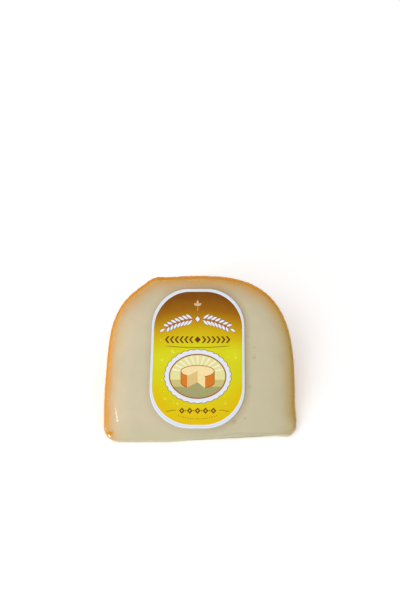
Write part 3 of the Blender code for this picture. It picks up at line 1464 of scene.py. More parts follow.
@dataclass
class Crease:
    """A raised fold of film: three points (x, height over the tip) that its curve runs by, and its size.

    All of it is in millimetres. The taper is the share of its length in which each end rises.
    """

    start: Pair
    middle: Pair
    end: Pair
    rise: float
    width: float
    taper: float = 0.16

    def path(self, count: int = 24) -> Array:
        """Where the fold runs.

        Args:
            count: The number of points.

        Returns:
            Points along it, in metres, one a row.
        """
        t = np.linspace(0, 1, count)[:, None]
        a, b, c = (np.array(p) * MM for p in (self.start, self.middle, self.end))
        control = 2 * b - (a + c) / 2
        return (1 - t) ** 2 * a + 2 * t * (1 - t) * control + t**2 * c

    def relief(self, x: Array, height: Array) -> Array:
        """How far the fold lifts the film at each point.

        Args:
            x: The points' x.
            height: The points' height over the tip.

        Returns:
            The lift in metres.
        """
        away, share = distance_to_path(x, height, self.path())
        rising = smoothstep(np.minimum(share, 1 - share), 0.0, self.taper)
        return self.rise * MM * rising * np.clip(1 - away / (self.width * MM), 0, 1)


@dataclass
class Facet:
    """A small flat place in the film that mirrors a light: its middle, half sizes, slant, normal and lift.

    The middle is (x, height over the tip) in millimetres, the half sizes are along and across, the slant
    is the direction of its length in degrees, and the lift is how far its middle stands off, in metres.
    """

    at: Pair
    half: Pair
    slant: float
    normal: Triple
    lift: float
    reach: float = 1.4
    grid: tuple = (11, 7)
    flat_edges: tuple = (1.0, 1.5)
    least_facing: float = 0.5

    def places(self) -> Array:
        """The finer faces' places.

        Returns:
            A close grid over the place, as points (x, height over the tip) in metres.
        """
        steps = (np.linspace(-self.reach, self.reach, count) for count in self.grid)
        along, beside = np.meshgrid(*steps)
        turn = math.radians(self.slant)
        along, beside = along.ravel() * self.half[0], beside.ravel() * self.half[1]
        x = self.at[0] + along * math.cos(turn) - beside * math.sin(turn)
        return np.column_stack([x, self.at[1] + along * math.sin(turn) + beside * math.cos(turn)]) * MM

    def flatten(self, skin: Skin, out: Array) -> Array:
        """Draws the film near the place onto one plane.

        Args:
            skin: The fine mesh.
            out: The film's distance outwards from it.

        Returns:
            The new distance.
        """
        from_zero = skin.points - skin.wedge.face_point(0.0, 0.0)
        across = from_zero[:, 0] / MM - self.at[0]
        up = from_zero @ np.array(skin.wedge.face_up()) / MM - self.at[1]
        turn = math.radians(self.slant)
        along = across * math.cos(turn) + up * math.sin(turn)
        beside = up * math.cos(turn) - across * math.sin(turn)
        away = np.hypot(along / self.half[0], beside / self.half[1])
        upper_half = skin.angle > skin.wedge.angle / 2
        share = (1 - smoothstep(away, *self.flat_edges)) * upper_half
        middle = int(np.argmin(np.where(share > 0, away, np.inf)))
        centre = skin.points[middle] + skin.normals[middle] * (out[middle] + self.lift)
        normal = np.array(self.normal) / np.linalg.norm(self.normal)
        facing = skin.normals @ normal
        near = (share > 0) & (facing > self.least_facing)
        flat = np.where(near, ((centre - skin.points) @ normal) / np.where(near, facing, 1.0), out)
        return np.where(near, out + share * (flat - out), out)


@dataclass
class Film:
    """The clear film that clings to the cheese, with its creases, gathers, wrinkles and back seam.

    Gathers lie over the rounded edges, the highest ones near the tip's left and right corners. Headings
    are the directions that wrinkles take on the rind, in radians, with how often each is drawn.
    """

    wedge: Wedge
    finish: FilmFinish = field(default_factory=FilmFinish)
    creases: tuple = (
        Crease((-45.58, 20.9), (-44.78, 15.3), (-43.91, 9.6), 0.32, 0.78),
        Crease((-49.9, 6.5), (-48.3, 5.6), (-46.9, 4.9), 0.18, 0.55),
        Crease((-49.9, 13.5), (-48.3, 10.2), (-45.9, 7.0), 0.10, 0.50),
        Crease((-45.0, 7.5), (-43.0, 5.5), (-40.2, 3.7), 0.14, 0.42),
        Crease((52.0, 11.3), (50.4, 8.7), (47.6, 6.5), 0.16, 0.50),
        Crease((49.6, 14.9), (47.2, 11.4), (43.6, 8.9), 0.10, 0.50),
        Crease((43.8, 28.9), (44.6, 20.9), (44.0, 11.9), 0.05, 0.70),
    )
    facets: tuple = (
        Facet((-49.0, 3.9), (1.20, 0.62), -40.0, (-0.314, -0.695, 0.647), 0.00022),
        Facet((-51.2, 7.9), (0.95, 0.50), -33.0, (-0.538, -0.521, 0.663), 0.00004),
    )
    below_cad: float = 0.00006
    least_gap: float = 0.00005
    rind_followed: float = 0.55
    waviness: float = 0.00005
    wave_clouds: Clouds = Clouds(0.016, 31, 3)
    fold_step: float = 0.45
    least_steps: int = 4
    across_shares: tuple = (-1.35, -1.0, -0.8, -0.55, -0.3, 0.0, 0.3, 0.55, 0.8, 1.0, 1.35)
    gathers_in: tuple = (0.004, 0.003)
    gathers_reach: tuple = (0.010, 0.008)
    gathers_right: float = 0.8
    gather_pitch: float = 0.0027
    gather_wander: tuple = (1.6, 0.0041)
    gather_rise: float = 0.00026
    edge_rise: float = 0.0000072
    edge_clouds: Clouds = Clouds(0.012, 21)
    wrinkle_seed: int = 29
    wrinkle_count: int = 80
    wrinkle_half: float = 0.00095
    wrinkle_from: tuple = (0.002, 0.044)
    wrinkle_length: tuple = (0.006, 0.020)
    wrinkle_rise: tuple = (0.00022, 0.00048)
    wrinkle_points: int = 12
    headings: tuple = (0.0, math.pi / 2)
    heading_odds: tuple = (0.55, 0.45)
    heading_scatter: float = 0.35
    wrinkle_bend: float = 0.5
    seam_half_width: float = 0.0042
    seam_fade: float = 0.0006
    seam_rise: float = 0.00055
    seam_pitch: float = 0.0016
    seam_ribs: float = 0.28
    seam_ends: tuple = (0.040, 0.052)

    def fine_places(self) -> Array:
        """Places on the labelled cut face that need finer faces for the creases and flat places.

        Returns:
            Points (x, radius from the axis), one a row.
        """
        places = []
        for crease in self.creases:
            length = np.linalg.norm(np.diff(crease.path(), axis=0), axis=1).sum()
            path = crease.path(max(self.least_steps, round(length / (self.fold_step * MM))))
            across = left_of(np.gradient(path, axis=0)) * crease.width * MM
            places += [path + across * share for share in self.across_shares]
        places += [facet.places() for facet in self.facets]
        found = np.concatenate(places)
        return found + np.array([0.0, self.wedge.tip_radius])

    def gathers(self, skin: Skin) -> Array:
        """Small gathers over the rounded edges.

        Args:
            skin: The fine mesh.

        Returns:
            The relief in metres outwards.
        """
        half = self.wedge.height / 2
        left_in, right_in = self.gathers_in
        left = np.hypot(skin.x + half - left_in, skin.height - left_in)
        right = np.hypot(skin.x - half + right_in, skin.height - self.wedge.tip_height(half) - right_in)
        left_near, right_near = (np.exp(-((d / r) ** 2)) for d, r in zip((left, right), self.gathers_reach))
        turned = 1 - np.abs(2 * skin.upper() - 1)
        sway, sway_length = self.gather_wander
        waves = np.sin(2 * np.pi * skin.arc / self.gather_pitch + sway * np.sin(skin.arc / sway_length))
        amount = self.gather_rise * (left_near + self.gathers_right * right_near)
        amount += self.edge_rise * (1 + self.edge_clouds.at(skin.points))
        return np.where(skin.region == Region.RIND.value, waves * amount * turned, 0)

    def wrinkles(self, skin: Skin) -> Array:
        """Fine folds of the drawn film over the rind, at the same places on each run.

        Args:
            skin: The fine mesh.

        Returns:
            The relief in metres outwards.
        """
        draw = np.random.default_rng(self.wrinkle_seed)
        rind = skin.region == Region.RIND.value
        flat = np.column_stack([skin.arc, skin.angle * skin.r])
        found = np.zeros(len(skin.x))
        for _ in range(self.wrinkle_count):
            start = np.array([draw.uniform(skin.arc.min(), skin.arc.max()), draw.uniform(*self.wrinkle_from)])
            heading = draw.choice(self.headings, p=self.heading_odds) + draw.normal(0.0, self.heading_scatter)
            length, rise = draw.uniform(*self.wrinkle_length), draw.uniform(*self.wrinkle_rise)
            bent = heading + draw.normal(0.0, self.wrinkle_bend) * np.linspace(0, 1, self.wrinkle_points)
            steps = np.column_stack([np.cos(bent), np.sin(bent)]) * length / (self.wrinkle_points - 1)
            near = rind & (np.hypot(*(flat - start).T) < length + 2 * self.wrinkle_half)
            path = start + np.cumsum(steps, axis=0)
            away, along = distance_to_path(flat[near, 0], flat[near, 1], path)
            taper = np.sin(np.pi * np.clip(along, 0, 1)) ** 0.5
            lift = rise * taper * np.clip(1 - away / self.wrinkle_half, 0, 1)
            found[near] = np.maximum(found[near], lift)
        return found

    def seam(self, skin: Skin) -> Array:
        """The welded seam that runs across the middle of the rim.

        Args:
            skin: The fine mesh.

        Returns:
            The relief in metres outwards.
        """
        from_middle = np.abs((skin.angle - self.wedge.angle / 2) * skin.r)
        band = 1 - smoothstep(from_middle, self.seam_half_width, self.seam_half_width + self.seam_fade)
        ribs = 1 - self.seam_ribs + self.seam_ribs * strands(skin.arc / self.seam_pitch)
        ends = smoothstep(skin.height, *self.seam_ends)
        return np.where(skin.region == Region.RIND.value, self.seam_rise * band * ribs * ends, 0)

    def build(self, skin: Skin, under: Array, effects: Effects) -> Piece:
        """Builds the piece.

        Args:
            skin: The fine mesh that it is made from.
            under: The cheese's distance outwards from the skin, which the film stays clear of.
            effects: The shared node groups.

        Returns:
            The piece.
        """
        folds = np.zeros(len(skin.x))
        for crease in self.creases:
            folds = np.maximum(folds, crease.relief(skin.x, skin.height))
        relief = Relief(skin)
        drawn_in = self.rind_followed * relief.rind() + self.wrinkles(skin) * relief.on_rind()
        out = -self.below_cad + drawn_in + folds * skin.upper() + self.gathers(skin)
        out -= self.waviness * (1 + self.wave_clouds.at(skin.points)) * 0.5
        out += self.seam(skin)
        for facet in self.facets:
            out = facet.flatten(skin, out)
        out = np.maximum(out, under + self.least_gap)
        low, high = (np.array(corner) for corner in CAD_BOX)
        points = np.clip(skin.moved(out), low, high)
        piece = new_object("film", points, skin.faces, self.finish.material(effects))
        set_values(piece, "rind", relief.away_from_cuts())
        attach(piece, "root")
        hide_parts("cheese_in_film")
        return piece


@dataclass(frozen=True)
class Plate:
    """A tall plate with quarter circles for corners, in millimetres from the label's centre.

    Each taper is the share of the half width that is gained 38 mm below the centre on that side.
    """

    half_width: float
    top: float
    bottom: float
    corner_top: float
    corner_bottom: float
    taper_left: float = 0.056
    taper_right: float = 0.009
    taper_height: float = 38.05

    def outline(self, corner_steps: int = 22) -> Outline:
        """The plate's outline.

        Args:
            corner_steps: How many pieces each corner's arc has.

        Returns:
            The outline's points, anticlockwise.
        """
        points = []
        for quarter, (side, end) in enumerate(((1, 1), (-1, 1), (-1, -1), (1, -1))):
            radius, reach = (self.corner_top, self.top) if end > 0 else (self.corner_bottom, self.bottom)
            taper = self.taper_right if side > 0 else self.taper_left
            for step in range(corner_steps + 1):
                turn = math.radians(90 * (quarter + step / corner_steps))
                x = side * (self.half_width - radius) + radius * math.cos(turn)
                y = end * (reach - radius) + radius * math.sin(turn)
                points.append((x * (1 - taper * y / self.taper_height), y))
        return points

    def towards(self, other: "Plate", share: float) -> "Plate":
        """A plate between this one and another.

        Args:
            other: The plate that share 1 gives.
            share: How far to go.

        Returns:
            The plate between.
        """
        names = ("half_width", "top", "bottom", "corner_top", "corner_bottom")
        pairs = {name: (getattr(self, name), getattr(other, name)) for name in names}
        return replace(self, **{name: mine + share * (its - mine) for name, (mine, its) in pairs.items()})


def on_oval(centre: Pair, half: Pair, angle: float) -> Pair:
    """The point of an oval, with its half width and half height, at an angle in degrees."""
    turn = math.radians(angle)
    return (centre[0] + half[0] * math.cos(turn), centre[1] + half[1] * math.sin(turn))


@dataclass
class Artwork:
    """The label's print: plain shapes in millimetres from the label's centre, the later ones on top.

    A half is a half width with a half height, and the angles are in degrees. The seal's line lies outside
    its scallops, the ring and the sky inside its edge. Both horizons are angles under its middle.
    """

    sheet: Plate = Plate(25.6, 38.05, 38.05, 20.3, 21.8)
    ground: Plate = Plate(24.37, 36.5, 36.05, 19.8, 21.5)
    line_share: tuple = (0.46, 0.57)
    seal_at: tuple = (0.0, -9.6)
    seal_half: tuple = (17.6, 14.2)
    seal_line: float = 0.35
    scallops: int = 30
    scallop_steps: int = 8
    scallop_depth: float = 0.035
    ring_in: float = 1.9
    sky_in: float = 2.6
    horizons: tuple = ((9, Ink.FIELD), (29, Ink.BOARD))
    rays: range = range(20, 161, 14)
    ray_half: float = 2.4
    ray_reach: float = 0.97
    wheel_rise: float = 2.8
    wheel_half: tuple = (9.3, 3.4)
    wheel_side: float = 6.2
    crust_line: tuple = (0.35, 0.45)
    paste_line: tuple = (0.45, 0.4)
    weave_levels: tuple = (0.33, 0.66)
    weave_from: float = 184.0
    weave_turn: float = 172.0
    weave_steps: int = 28
    weave_rise: float = 0.62
    gap: tuple = (232.0, 296.0)
    gap_drop: float = 0.2
    holes: tuple = ((1.2, -2.0, 0.32), (2.4, -3.9, 0.26), (1.0, -4.9, 0.22), (3.1, -2.6, 0.20))
    garland: float = 21.6
    stem: tuple = (2.6, 17.4)
    stem_leaves: int = 8
    stem_drop: float = 0.0165
    leaf_lean: float = 0.70
    leaf_length: tuple = (5.0, 0.18)
    end_leaf: float = 4.2
    large_row: float = 10.4
    arrows: int = 6
    arrow_start: float = 2.15
    arrow_pitch: float = 2.62
    arrow_half: float = 1.85
    arrow_thick: float = 1.12
    arrow_reach: float = 1.5
    small_row: float = -28.3
    open_lozenges: int = 5
    lozenge_pitch: float = 4.3
    bead_arc: tuple = ((0.0, -2.8), (30.0, 30.0))
    bead_turn: float = 2.5
    beads_each_way: int = 8
    mark_over_garland: float = 7.0
    mark_leaves: tuple = ((140, 2.6), (40, 2.6), (90, 3.4))
    dot_seed: int = 12
    dots: int = 80
    dot_size: tuple = (0.25, 0.90)
    shapes: list = field(init=False, default_factory=list)

    def __post_init__(self) -> None:
        """Draws everything, from the bottom layer up."""
        self.draw(self.sheet.outline(), Ink.BORDER)
        for share, ink in zip(self.line_share, (Ink.BORDER_LINE, Ink.BORDER)):
            self.draw(self.sheet.towards(self.ground, share).outline(), ink)
        self.draw(self.ground.outline(), Ink.GROUND)
        self.soft_dots()
        self.seal()
        self.wheel()
        for side in (-1, 1):
            self.sprig(side)
        self.lozenge((0.0, self.garland), (1.9, 2.3), Ink.OUTLINE)
        self.lozenge((0.0, self.garland), (1.3, 1.6), Ink.WHITE)
        self.rules()
        self.chevrons()
        self.lozenges()
        self.beads()
        self.leaf_mark()

    def draw(self, points: Outline, ink: Ink) -> None:
        """Adds one closed shape on top of the others, turned anticlockwise.

        Args:
            points: The shape's outline.
            ink: What it is printed in.
        """
        ahead = points[1:] + points[:1]
        area = sum(x * next_y - next_x * y for (x, y), (next_x, next_y) in zip(points, ahead))
        self.shapes.append((points if area > 0 else points[::-1], ink))

    def oval(
        self, centre: Pair, half: Pair, start: float = 0, end: float = 360
    ) -> Outline:
        """An oval, or the part of it on one side of a straight cut.

        Args:
            centre: The oval's centre.
            half: Its half width and half height.
            start: The angle at which it starts, in degrees.
            end: The angle at which it ends, in degrees.

        Returns:
            The outline's points, anticlockwise.
        """
        whole = end - start >= 360
        steps = max(8, round((end - start) / 360 * (18 + 2.2 * max(half))))
        last = steps if whole else steps + 1
        return [on_oval(centre, half, start + (end - start) * step / steps) for step in range(last)]

    def ribbon(self, path: Outline, width: float) -> Outline:
        """A line of a given width with pointed ends.

        Args:
            path: The points along its middle.
            width: Its width at the middle.

        Returns:
            The outline's points.
        """
        line = np.array(path)
        share = np.linspace(0, 1, len(line))
        half = 0.5 * width * np.clip(np.minimum(share, 1 - share) * 8 + 0.25, 0, 1)
        across = left_of(np.gradient(line, axis=0)) * half[:, None]
        return [tuple(p) for p in line - across] + [tuple(p) for p in (line + across)[::-1]]

    def seal(self) -> None:
        """The seal in the lower half: a white scalloped rim, a brown line, a pale sky and a board below."""
        at, half = self.seal_at, np.array(self.seal_half)
        self.draw(self.scalloped(at, tuple(half + self.seal_line)), Ink.OUTLINE)
        self.draw(self.scalloped(at, tuple(half)), Ink.BORDER)
        self.draw(self.oval(at, tuple(half - self.ring_in)), Ink.OUTLINE)
        sky = half - self.sky_in
        self.draw(self.oval(at, tuple(sky)), Ink.SKY)
        for horizon, ink in self.horizons:
            self.draw(self.oval(at, tuple(sky), 180 + horizon, 360 - horizon), ink)
        for middle in self.rays:
            sides = (middle - self.ray_half, middle + self.ray_half)
            ends = [on_oval(at, tuple(self.ray_reach * sky), side) for side in sides]
            self.draw([(at[0], at[1] + 1.0), *ends], Ink.SUN)

    def scalloped(self, centre: Pair, half: Pair) -> Outline:
        """An oval with a scalloped edge.

        Args:
            centre: Its centre.
            half: Its half width and half height, without the scallops.

        Returns:
            The outline's points, anticlockwise.
        """
        steps = self.scallops * self.scallop_steps
        points = []
        for step in range(steps):
            wave = abs(math.sin(math.pi * step / self.scallop_steps))
            size = 1 + self.scallop_depth * wave
            points.append(on_oval(centre, (half[0] * size, half[1] * size), 360 * step / steps))
        return points

    def wheel(self) -> None:
        """A wheel of cheese with a piece cut out, standing in the seal."""
        top = (self.seal_at[0], self.seal_at[1] + self.wheel_rise)
        half, (beside, under) = self.wheel_half, self.crust_line
        for side, foot, ink in ((half[0], 0.0, Ink.CRUST_DARK), (half[0] - beside, under, Ink.CRUST)):
            bottom = self.oval((top[0], top[1] - self.wheel_side + foot), (side, half[1]), 180, 360)
            self.draw(bottom + [(top[0] + side, top[1]), (top[0] - side, top[1])], ink)
        for level in self.weave_levels:
            self.crust_weave((top[0], top[1] - self.wheel_side * level))
        self.draw(self.oval(top, half), Ink.CRUST_DARK)
        self.draw(self.oval(top, tuple(np.subtract(half, self.paste_line))), Ink.PASTE)
        self.notch(top)

    def crust_weave(self, centre: Pair) -> None:
        """One zigzag round the drawn wheel's side.

        Args:
            centre: The centre of the oval that it runs along.
        """
        half = (0.96 * self.wheel_half[0], self.wheel_half[1])
        points = []
        for step in range(self.weave_steps + 1):
            x, y = on_oval(centre, half, self.weave_from + self.weave_turn * step / self.weave_steps)
            points.append((x, y + (self.weave_rise if step % 2 else -self.weave_rise)))
        self.draw(self.ribbon(points, 0.50), Ink.CRUST_DARK)

    def notch(self, top: Pair) -> None:
        """The gap where a piece was cut from the drawn wheel, with its two cut faces.

        Args:
            top: The middle of the wheel's top.
        """
        x, y = top
        side = self.wheel_side
        left, right = (on_oval(top, self.wheel_half, angle) for angle in self.gap)
        centre, foot = (x, y + self.gap_drop), (x, y + self.gap_drop - side)
        floor = self.oval((x, y - side - 0.12), self.wheel_half, *self.gap)
        self.draw([left, *floor, right, centre], Ink.BOARD)
        self.draw([left, (left[0], left[1] - side), foot, centre], Ink.PASTE_SHADE)
        self.draw([right, centre, foot, (right[0], right[1] - side)], Ink.PASTE)
        for dx, dy, size in self.holes:
            self.draw(self.oval((x + dx, y + dy), (size, size * 0.9)), Ink.PASTE_SHADE)

    def sprig(self, side: int) -> None:
        """One half of the garland in the upper part: a white leafy sprig with a brown outline.

        Args:
            side: 1 for the right one and -1 for the left one.
        """
        across = np.linspace(*self.stem, self.stem_leaves)
        heights = self.garland - self.stem_drop * across**2
        self.draw(self.ribbon([(side * x, y) for x, y in zip(across, heights)], 0.9), Ink.OUTLINE)
        longest, shorter = self.leaf_length
        leaves = []
        for number, (x, y) in enumerate(zip(across[:-1], heights)):
            heading = math.atan2(-2 * self.stem_drop * x, 1.0)
            for lean in (self.leaf_lean, -self.leaf_lean):
                leaves.append(((x, y), heading + lean, longest - shorter * number))
        leaves.append(((across[-1], heights[-1]), math.atan2(-0.60, 1.0), self.end_leaf))
        for at, heading, length in leaves:
            self.leaf((side * at[0], at[1]), heading if side > 0 else math.pi - heading, length)

    def leaf(self, at: Pair, heading: float, length: float) -> None:
        """A white leaf with a brown outline, from its stalk along its heading, in radians."""
        self.draw(self.almond(at, heading, 0.1, length, 0.92), Ink.OUTLINE)
        self.draw(self.almond(at, heading, 0.5, length - 0.4, 0.62), Ink.WHITE)

    def almond(self, at: Pair, heading: float, start: float, end: float, half: float) -> Outline:
        """A pointed oval.

        Args:
            at: The point that start and end are measured from.
            heading: The direction of its length, in radians.
            start: Where it starts.
            end: Where it ends.
            half: Its half width.

        Returns:
            The outline's points, anticlockwise.
        """
        along = Vector((math.cos(heading), math.sin(heading)))
        left = Vector((-along.y, along.x))
        points = []
        for side in (-1, 1):
            for step in range(7):
                t = step / 7 if side < 0 else 1 - step / 7
                width = side * half * math.sin(math.pi * t) ** 0.8
                spot = Vector(at) + along * (start + (end - start) * t) + left * width
                points.append((spot.x, spot.y))
        return points

    def rules(self) -> None:
        """The thin lines under and beside the rows of shapes."""
        bow = [(x, self.large_row - 4.3 + 0.0030 * x * x) for x in np.linspace(-17.7, 17.7, 15)]
        self.draw(self.ribbon(bow, 0.42), Ink.RULE)
        for side in (-1, 1):
            short = []
            for x in np.linspace(11.6, 17.6, 9):
                short.append((side * x, self.small_row + 0.35 * math.sin((x - 11.4) * 0.9)))
            self.draw(self.ribbon(short, 0.36), Ink.RULE)

    def chevrons(self) -> None:
        """The larger row, over the seal: arrowheads that point outwards from a lozenge in the middle."""
        y, half, thick = self.large_row, self.arrow_half, self.arrow_thick
        self.lozenge((0.0, y), (1.75, half), Ink.DARK)
        for side in (-1, 1):
            for number in range(self.arrows):
                x = self.arrow_start + number * self.arrow_pitch
                tip = x + self.arrow_reach
                lower = [(x, y - half), (x + thick, y - half), (tip + thick, y)]
                points = lower + [(x + thick, y + half), (x, y + half), (tip, y)]
                self.draw([(side * px, py) for px, py in points], Ink.DARK)

    def lozenge(self, centre: Pair, half: Pair, ink: Ink) -> None:
        """A square stood on its corner."""
        x, y = centre
        self.draw([(x + half[0], y), (x, y + half[1]), (x - half[0], y), (x, y - half[1])], ink)

    def lozenges(self) -> None:
        """The smaller row, under the seal: open lozenges with dots between them."""
        for number in range(self.open_lozenges):
            x = (number - self.open_lozenges // 2) * self.lozenge_pitch
            self.lozenge((x, self.small_row), (1.6, 1.7), Ink.DARK)
            self.lozenge((x, self.small_row), (0.62, 0.68), Ink.GROUND)
            if number < self.open_lozenges - 1:
                between = (x + self.lozenge_pitch / 2, self.small_row)
                self.draw(self.oval(between, (0.36, 0.36)), Ink.DARK)

    def beads(self) -> None:
        """The arc of small dots and dashes along the bottom."""
        for number in range(-self.beads_each_way, self.beads_each_way + 1):
            at = on_oval(*self.bead_arc, 270 + number * self.bead_turn)
            self.draw(self.oval(at, (0.24, 0.24) if number % 3 else (0.46, 0.22)), Ink.RULE)

    def leaf_mark(self) -> None:
        """The small pale three-leaved mark at the top."""
        foot = self.garland + self.mark_over_garland
        for heading, length in self.mark_leaves:
            self.draw(self.almond((0.0, foot), math.radians(heading), 0.2, length, 0.62), Ink.BEAD)
        stalk = [(0.0, foot), (0.15, foot - 1.3), (-0.1, foot - 2.6)]
        self.draw(self.ribbon(stalk, 0.42), Ink.BEAD)

    def soft_dots(self) -> None:
        """Small round lights scattered round the seal, the same on each run."""
        draw = np.random.default_rng(self.dot_seed)
        for _ in range(self.dots):
            x, y = draw.uniform(-21.0, 21.0), draw.uniform(-24.5, 12.0)
            size = draw.uniform(*self.dot_size)
            across = (x - self.seal_at[0]) / (self.seal_half[0] + self.ring_in)
            up = (y - self.seal_at[1]) / (self.seal_half[1] + self.ring_in)
            if math.hypot(across, up) < 1 or (y > 4.5 and abs(x) < 19.6):
                continue
            self.draw(self.oval((x, y), (size, size)), Ink.GLOW)
            if size < 0.6:
                self.draw(self.oval((x, y), (size * 0.5, size * 0.5)), Ink.SPARK)


@dataclass
class Label:
    """The paper label, stuck to the film over the labelled cut face."""

    wedge: Wedge
    artwork: Artwork = field(default_factory=Artwork)
    finish: LabelFinish = field(default_factory=LabelFinish)
    underside: float = -0.00045
    top: float = -0.00020
    edge: float = 0.00008
    spacing: float = 1.6
    same_point: float = 1e-5
    waviness: float = 0.00004
    wave_clouds: Clouds = Clouds(22.0, 41)

    def edge_on_face(self) -> Array:
        """The label's outline on the cut face.

        Returns:
            Points (x, height over the tip) in metres, one a row.
        """
        low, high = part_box("label")
        middle = np.array((low + high) / 2) - self.wedge.face_point(0.0, 0.0)
        at = np.array([middle[0], middle @ np.array(self.wedge.face_up())])
        return self._centred(np.array(self.artwork.sheet.outline())) * MM + at

    def _centred(self, flat: Array) -> Array:
        """Moves points of the print, in millimetres, so that the sheet's outline has its middle at zero."""
        outline = np.array(self.artwork.sheet.outline())
        return flat - (outline.min(axis=0) + outline.max(axis=0)) / 2

    def build(self, effects: Effects) -> Piece:
        """Builds the piece.

        Args:
            effects: The shared node groups.

        Returns:
            The piece.
        """
        outlines = [np.array(points) for points, _ in self.artwork.shapes]
        sheet, edge = self.artwork.sheet, self.edge / MM
        sizes = {name: getattr(sheet, name) - edge for name in ("half_width", "top", "bottom")}
        outlines[0] = np.array(replace(sheet, **sizes).outline())
        spots, faces, inks = self._printed_face(outlines)
        rim = self._rim_numbers(spots, outlines[0])
        outer = np.array(sheet.outline())
        count, size = len(spots), len(outer)
        flat = np.concatenate([spots, outer, outer])
        heights = np.repeat([self.top, self.top - self.edge, self.underside], [count, size, size])
        for i in range(size):
            j = (i + 1) % size
            faces.append((rim[j], rim[i], count + i, count + j))
            faces.append((count + j, count + i, count + size + i, count + size + j))
        faces.append(tuple(count + 2 * size - 1 - i for i in range(size)))
        inks += [Ink.BORDER] * (2 * size + 1)
        points = self._place(flat, heights)
        piece = new_object("paper_label", points, faces, self.finish.material(effects))
        self._dress(piece, flat, inks)
        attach(piece, "root")
        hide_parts("label")
        return piece

    def _printed_face(self, outlines: list[Array]) -> tuple[Array, list, list[Ink]]:
        """Cuts the label's face into triangles along the edges of every printed shape.

        Args:
            outlines: The shapes' outlines, the label's own first.

        Returns:
            The points in millimetres, the triangles, and each triangle's ink.
        """
        grid = interior_points(outlines[0], self.spacing, self.spacing / 2)
        loops, first = [], 0
        for outline in outlines:
            loops.append(list(range(first, first + len(outline))))
            first += len(outline)
        everything = [Vector(point) for point in np.concatenate([*outlines, grid])]
        found = delaunay_2d_cdt(everything, [], loops, 1, self.same_point, True)
        spots = np.array([tuple(spot) for spot in found[0]])
        faces = [tuple(face) for face in found[2]]
        inks = [self.artwork.shapes[max(sources)][1] for sources in found[5]]
        return spots, faces, inks

    def _rim_numbers(self, spots: Array, outline: Array) -> list[int]:
        """The numbers of the face's points that lie on the label's outline, in its order."""
        return [int(np.argmin(np.hypot(*(spots - point).T))) for point in outline]

    def _place(self, flat: Array, heights: Array) -> Array:
        """Puts the label's points over the labelled cut face.

        Args:
            flat: Their places on the label, in millimetres.
            heights: Their heights over the middle of the frame's label, in metres.

        Returns:
            World points, one a row.
        """
        low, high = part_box("label")
        flat = self._centred(flat)
        right, up = np.array([1.0, 0.0, 0.0]), np.array(self.wedge.face_up())
        out = np.array(self.wedge.face_normal())
        wave = self.wave_clouds.at(np.column_stack([flat, np.zeros(len(flat))]))
        lift = heights + self.waviness * (1 + wave)
        middle = np.array((low + high) / 2)
        return middle + flat[:, :1] * MM * right + flat[:, 1:2] * MM * up + lift[:, None] * out

    def _dress(self, piece: Piece, flat: Array, inks: list[Ink]) -> None:
        """Stores each point's place in the print and each face's ink.

        Args:
            piece: The label.
            flat: Each vertex's place on the label, in millimetres.
            inks: Each face's ink.
        """
        place = piece.data.attributes.new("print_place", "FLOAT_VECTOR", "POINT")
        spots = np.column_stack([flat, np.zeros(len(flat))]).astype(np.float32)
        place.data.foreach_set("vector", spots.ravel())
        colours = {ink: linear(*ink.value) for ink in Ink}
        values = np.zeros((len(piece.data.loops), 4), np.float32)
        for polygon, ink in zip(piece.data.polygons, inks):
            values[polygon.loop_start : polygon.loop_start + polygon.loop_total] = colours[ink]
        ink_values = piece.data.color_attributes.new("ink", "FLOAT_COLOR", "CORNER")
        ink_values.data.foreach_set("color", values.ravel())


@dataclass
class Light:
    """A soft rectangular light: where it stands from the object, its size, power and tint."""

    name: str
    place: Triple
    size: Pair
    power: float
    tint: Triple = (1.0, 1.0, 1.0)

    def build(self, target: Vector) -> None:
        """Adds the light.

        Args:
            target: The point that it is aimed at.
        """
        data = bpy.data.lights.new(self.name, "AREA")
        data.shape = "RECTANGLE"
        data.size, data.size_y = self.size
        data.energy = self.power
        data.color = self.tint
        lamp = bpy.data.objects.new(self.name, data)
        lamp.location = self.place
        lamp.rotation_mode = "QUATERNION"
        lamp.rotation_quaternion = (target - lamp.location).to_track_quat("-Z", "Y")
        bpy.context.scene.collection.objects.link(lamp)


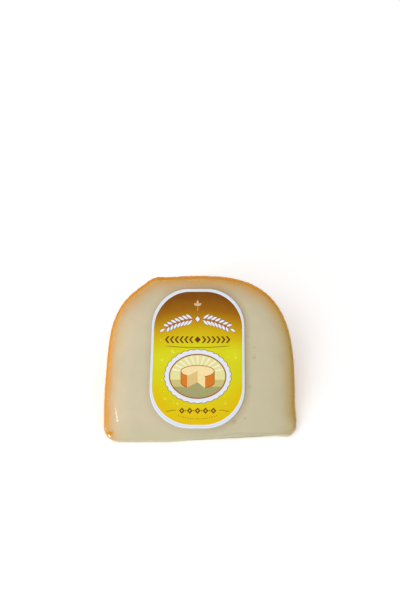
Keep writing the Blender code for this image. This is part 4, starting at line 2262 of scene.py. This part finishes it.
@dataclass
class Studio:
    """The floor, the lights and the camera."""

    wedge: Wedge
    finish: FloorFinish = field(default_factory=FloorFinish)
    floor_half: float = 2.6
    floor_drop: float = 0.0002
    lens: float = 85.0
    sensor: float = 36.0
    pixel: float = 0.545
    frame_pixels: float = 600.0
    centre_x: float = 0.3
    centre_height: float = 77.7
    world_strength: float = 0.55
    aim: tuple = (0.0, 0.0, 0.02)
    lights: tuple = (
        Light("key_light", (-0.52, -0.36, 1.27), (1.0, 1.0), 6.3, (1.0, 0.985, 0.96)),
        Light("fill_light", (0.95, -0.55, 0.85), (1.0, 1.0), 1.5, (0.97, 0.985, 1.0)),
        Light("front_light", (0.0, -1.25, 0.30), (1.1, 0.25), 1.0),
        Light("back_light", (0.35, 1.20, 0.70), (0.9, 0.30), 2.2),
        Light("side_glint_light", (-0.837, -0.584, 0.537), (0.15, 0.15), 1.6),
        Light("corner_glint_light", (-0.709, -0.889, 0.228), (0.15, 0.15), 1.7),
        Light("edge_glint_light", (-1.050, -0.471, 0.162), (0.20, 0.10), 1.3),
    )

    def build(self, effects: Effects) -> None:
        """Builds the whole studio.

        Args:
            effects: The shared node groups.
        """
        self.floor(effects)
        self.world()
        self.camera()
        for light in self.lights:
            light.build(Vector(self.aim))

    def floor(self, effects: Effects) -> None:
        """Makes the floor.

        Args:
            effects: The shared node groups.
        """
        h, z = self.floor_half, -self.floor_drop
        corners = np.array([(-h, -h, z), (h, -h, z), (h, h, z), (-h, h, z)])
        floor = new_object("floor", corners, [(0, 1, 2, 3)], self.finish.material(effects))

    def world(self) -> None:
        """Gives the surroundings an even pale light."""
        world = bpy.data.worlds.new("pale_room")
        world.use_nodes = True
        background = world.node_tree.nodes["Background"]
        background.inputs["Color"].default_value = (1.0, 1.0, 1.0, 1.0)
        background.inputs["Strength"].default_value = self.world_strength
        bpy.context.scene.world = world
        bpy.context.scene.view_settings.view_transform = "Standard"

    def camera(self) -> None:
        """Puts the camera square to the labelled cut face, at the photograph's framing."""
        wedge = self.wedge
        spot = wedge.face_point(self.centre_x * MM, self.centre_height * MM)
        distance = self.lens * self.frame_pixels * self.pixel * MM / self.sensor
        data = bpy.data.cameras.new("camera")
        data.lens = self.lens
        data.sensor_width = self.sensor
        camera = bpy.data.objects.new("camera", data)
        out, up = wedge.face_normal(), wedge.face_up()
        turn = Matrix((Vector((1, 0, 0)), up, out)).transposed().to_4x4()
        camera.matrix_world = Matrix.Translation(Vector(spot) + out * distance) @ turn
        bpy.context.scene.collection.objects.link(camera)
        bpy.context.scene.camera = camera


def report(piece: Piece) -> None:
    """Logs a piece's name and how many faces it has."""
    LOG.info("%s: %d faces", piece.name, len(piece.data.polygons))


def main() -> None:
    """Builds the cheese, its film and its label round the frame, and the studio round them."""
    logging.basicConfig(level=logging.INFO, format="%(name)s: %(message)s")
    effects = Effects()
    wedge = Wedge()
    Studio(wedge).build(effects)
    cheese, film, label = Cheese(wedge), Film(wedge), Label(wedge)
    skin = Skin(wedge, np.concatenate([cheese.fine_places(), film.fine_places()]))
    cheese_piece, surface = cheese.build(skin, effects, label.edge_on_face())
    report(cheese_piece)
    report(film.build(skin, surface, effects))
    report(label.build(effects))


if __name__ == "__main__":
    main()
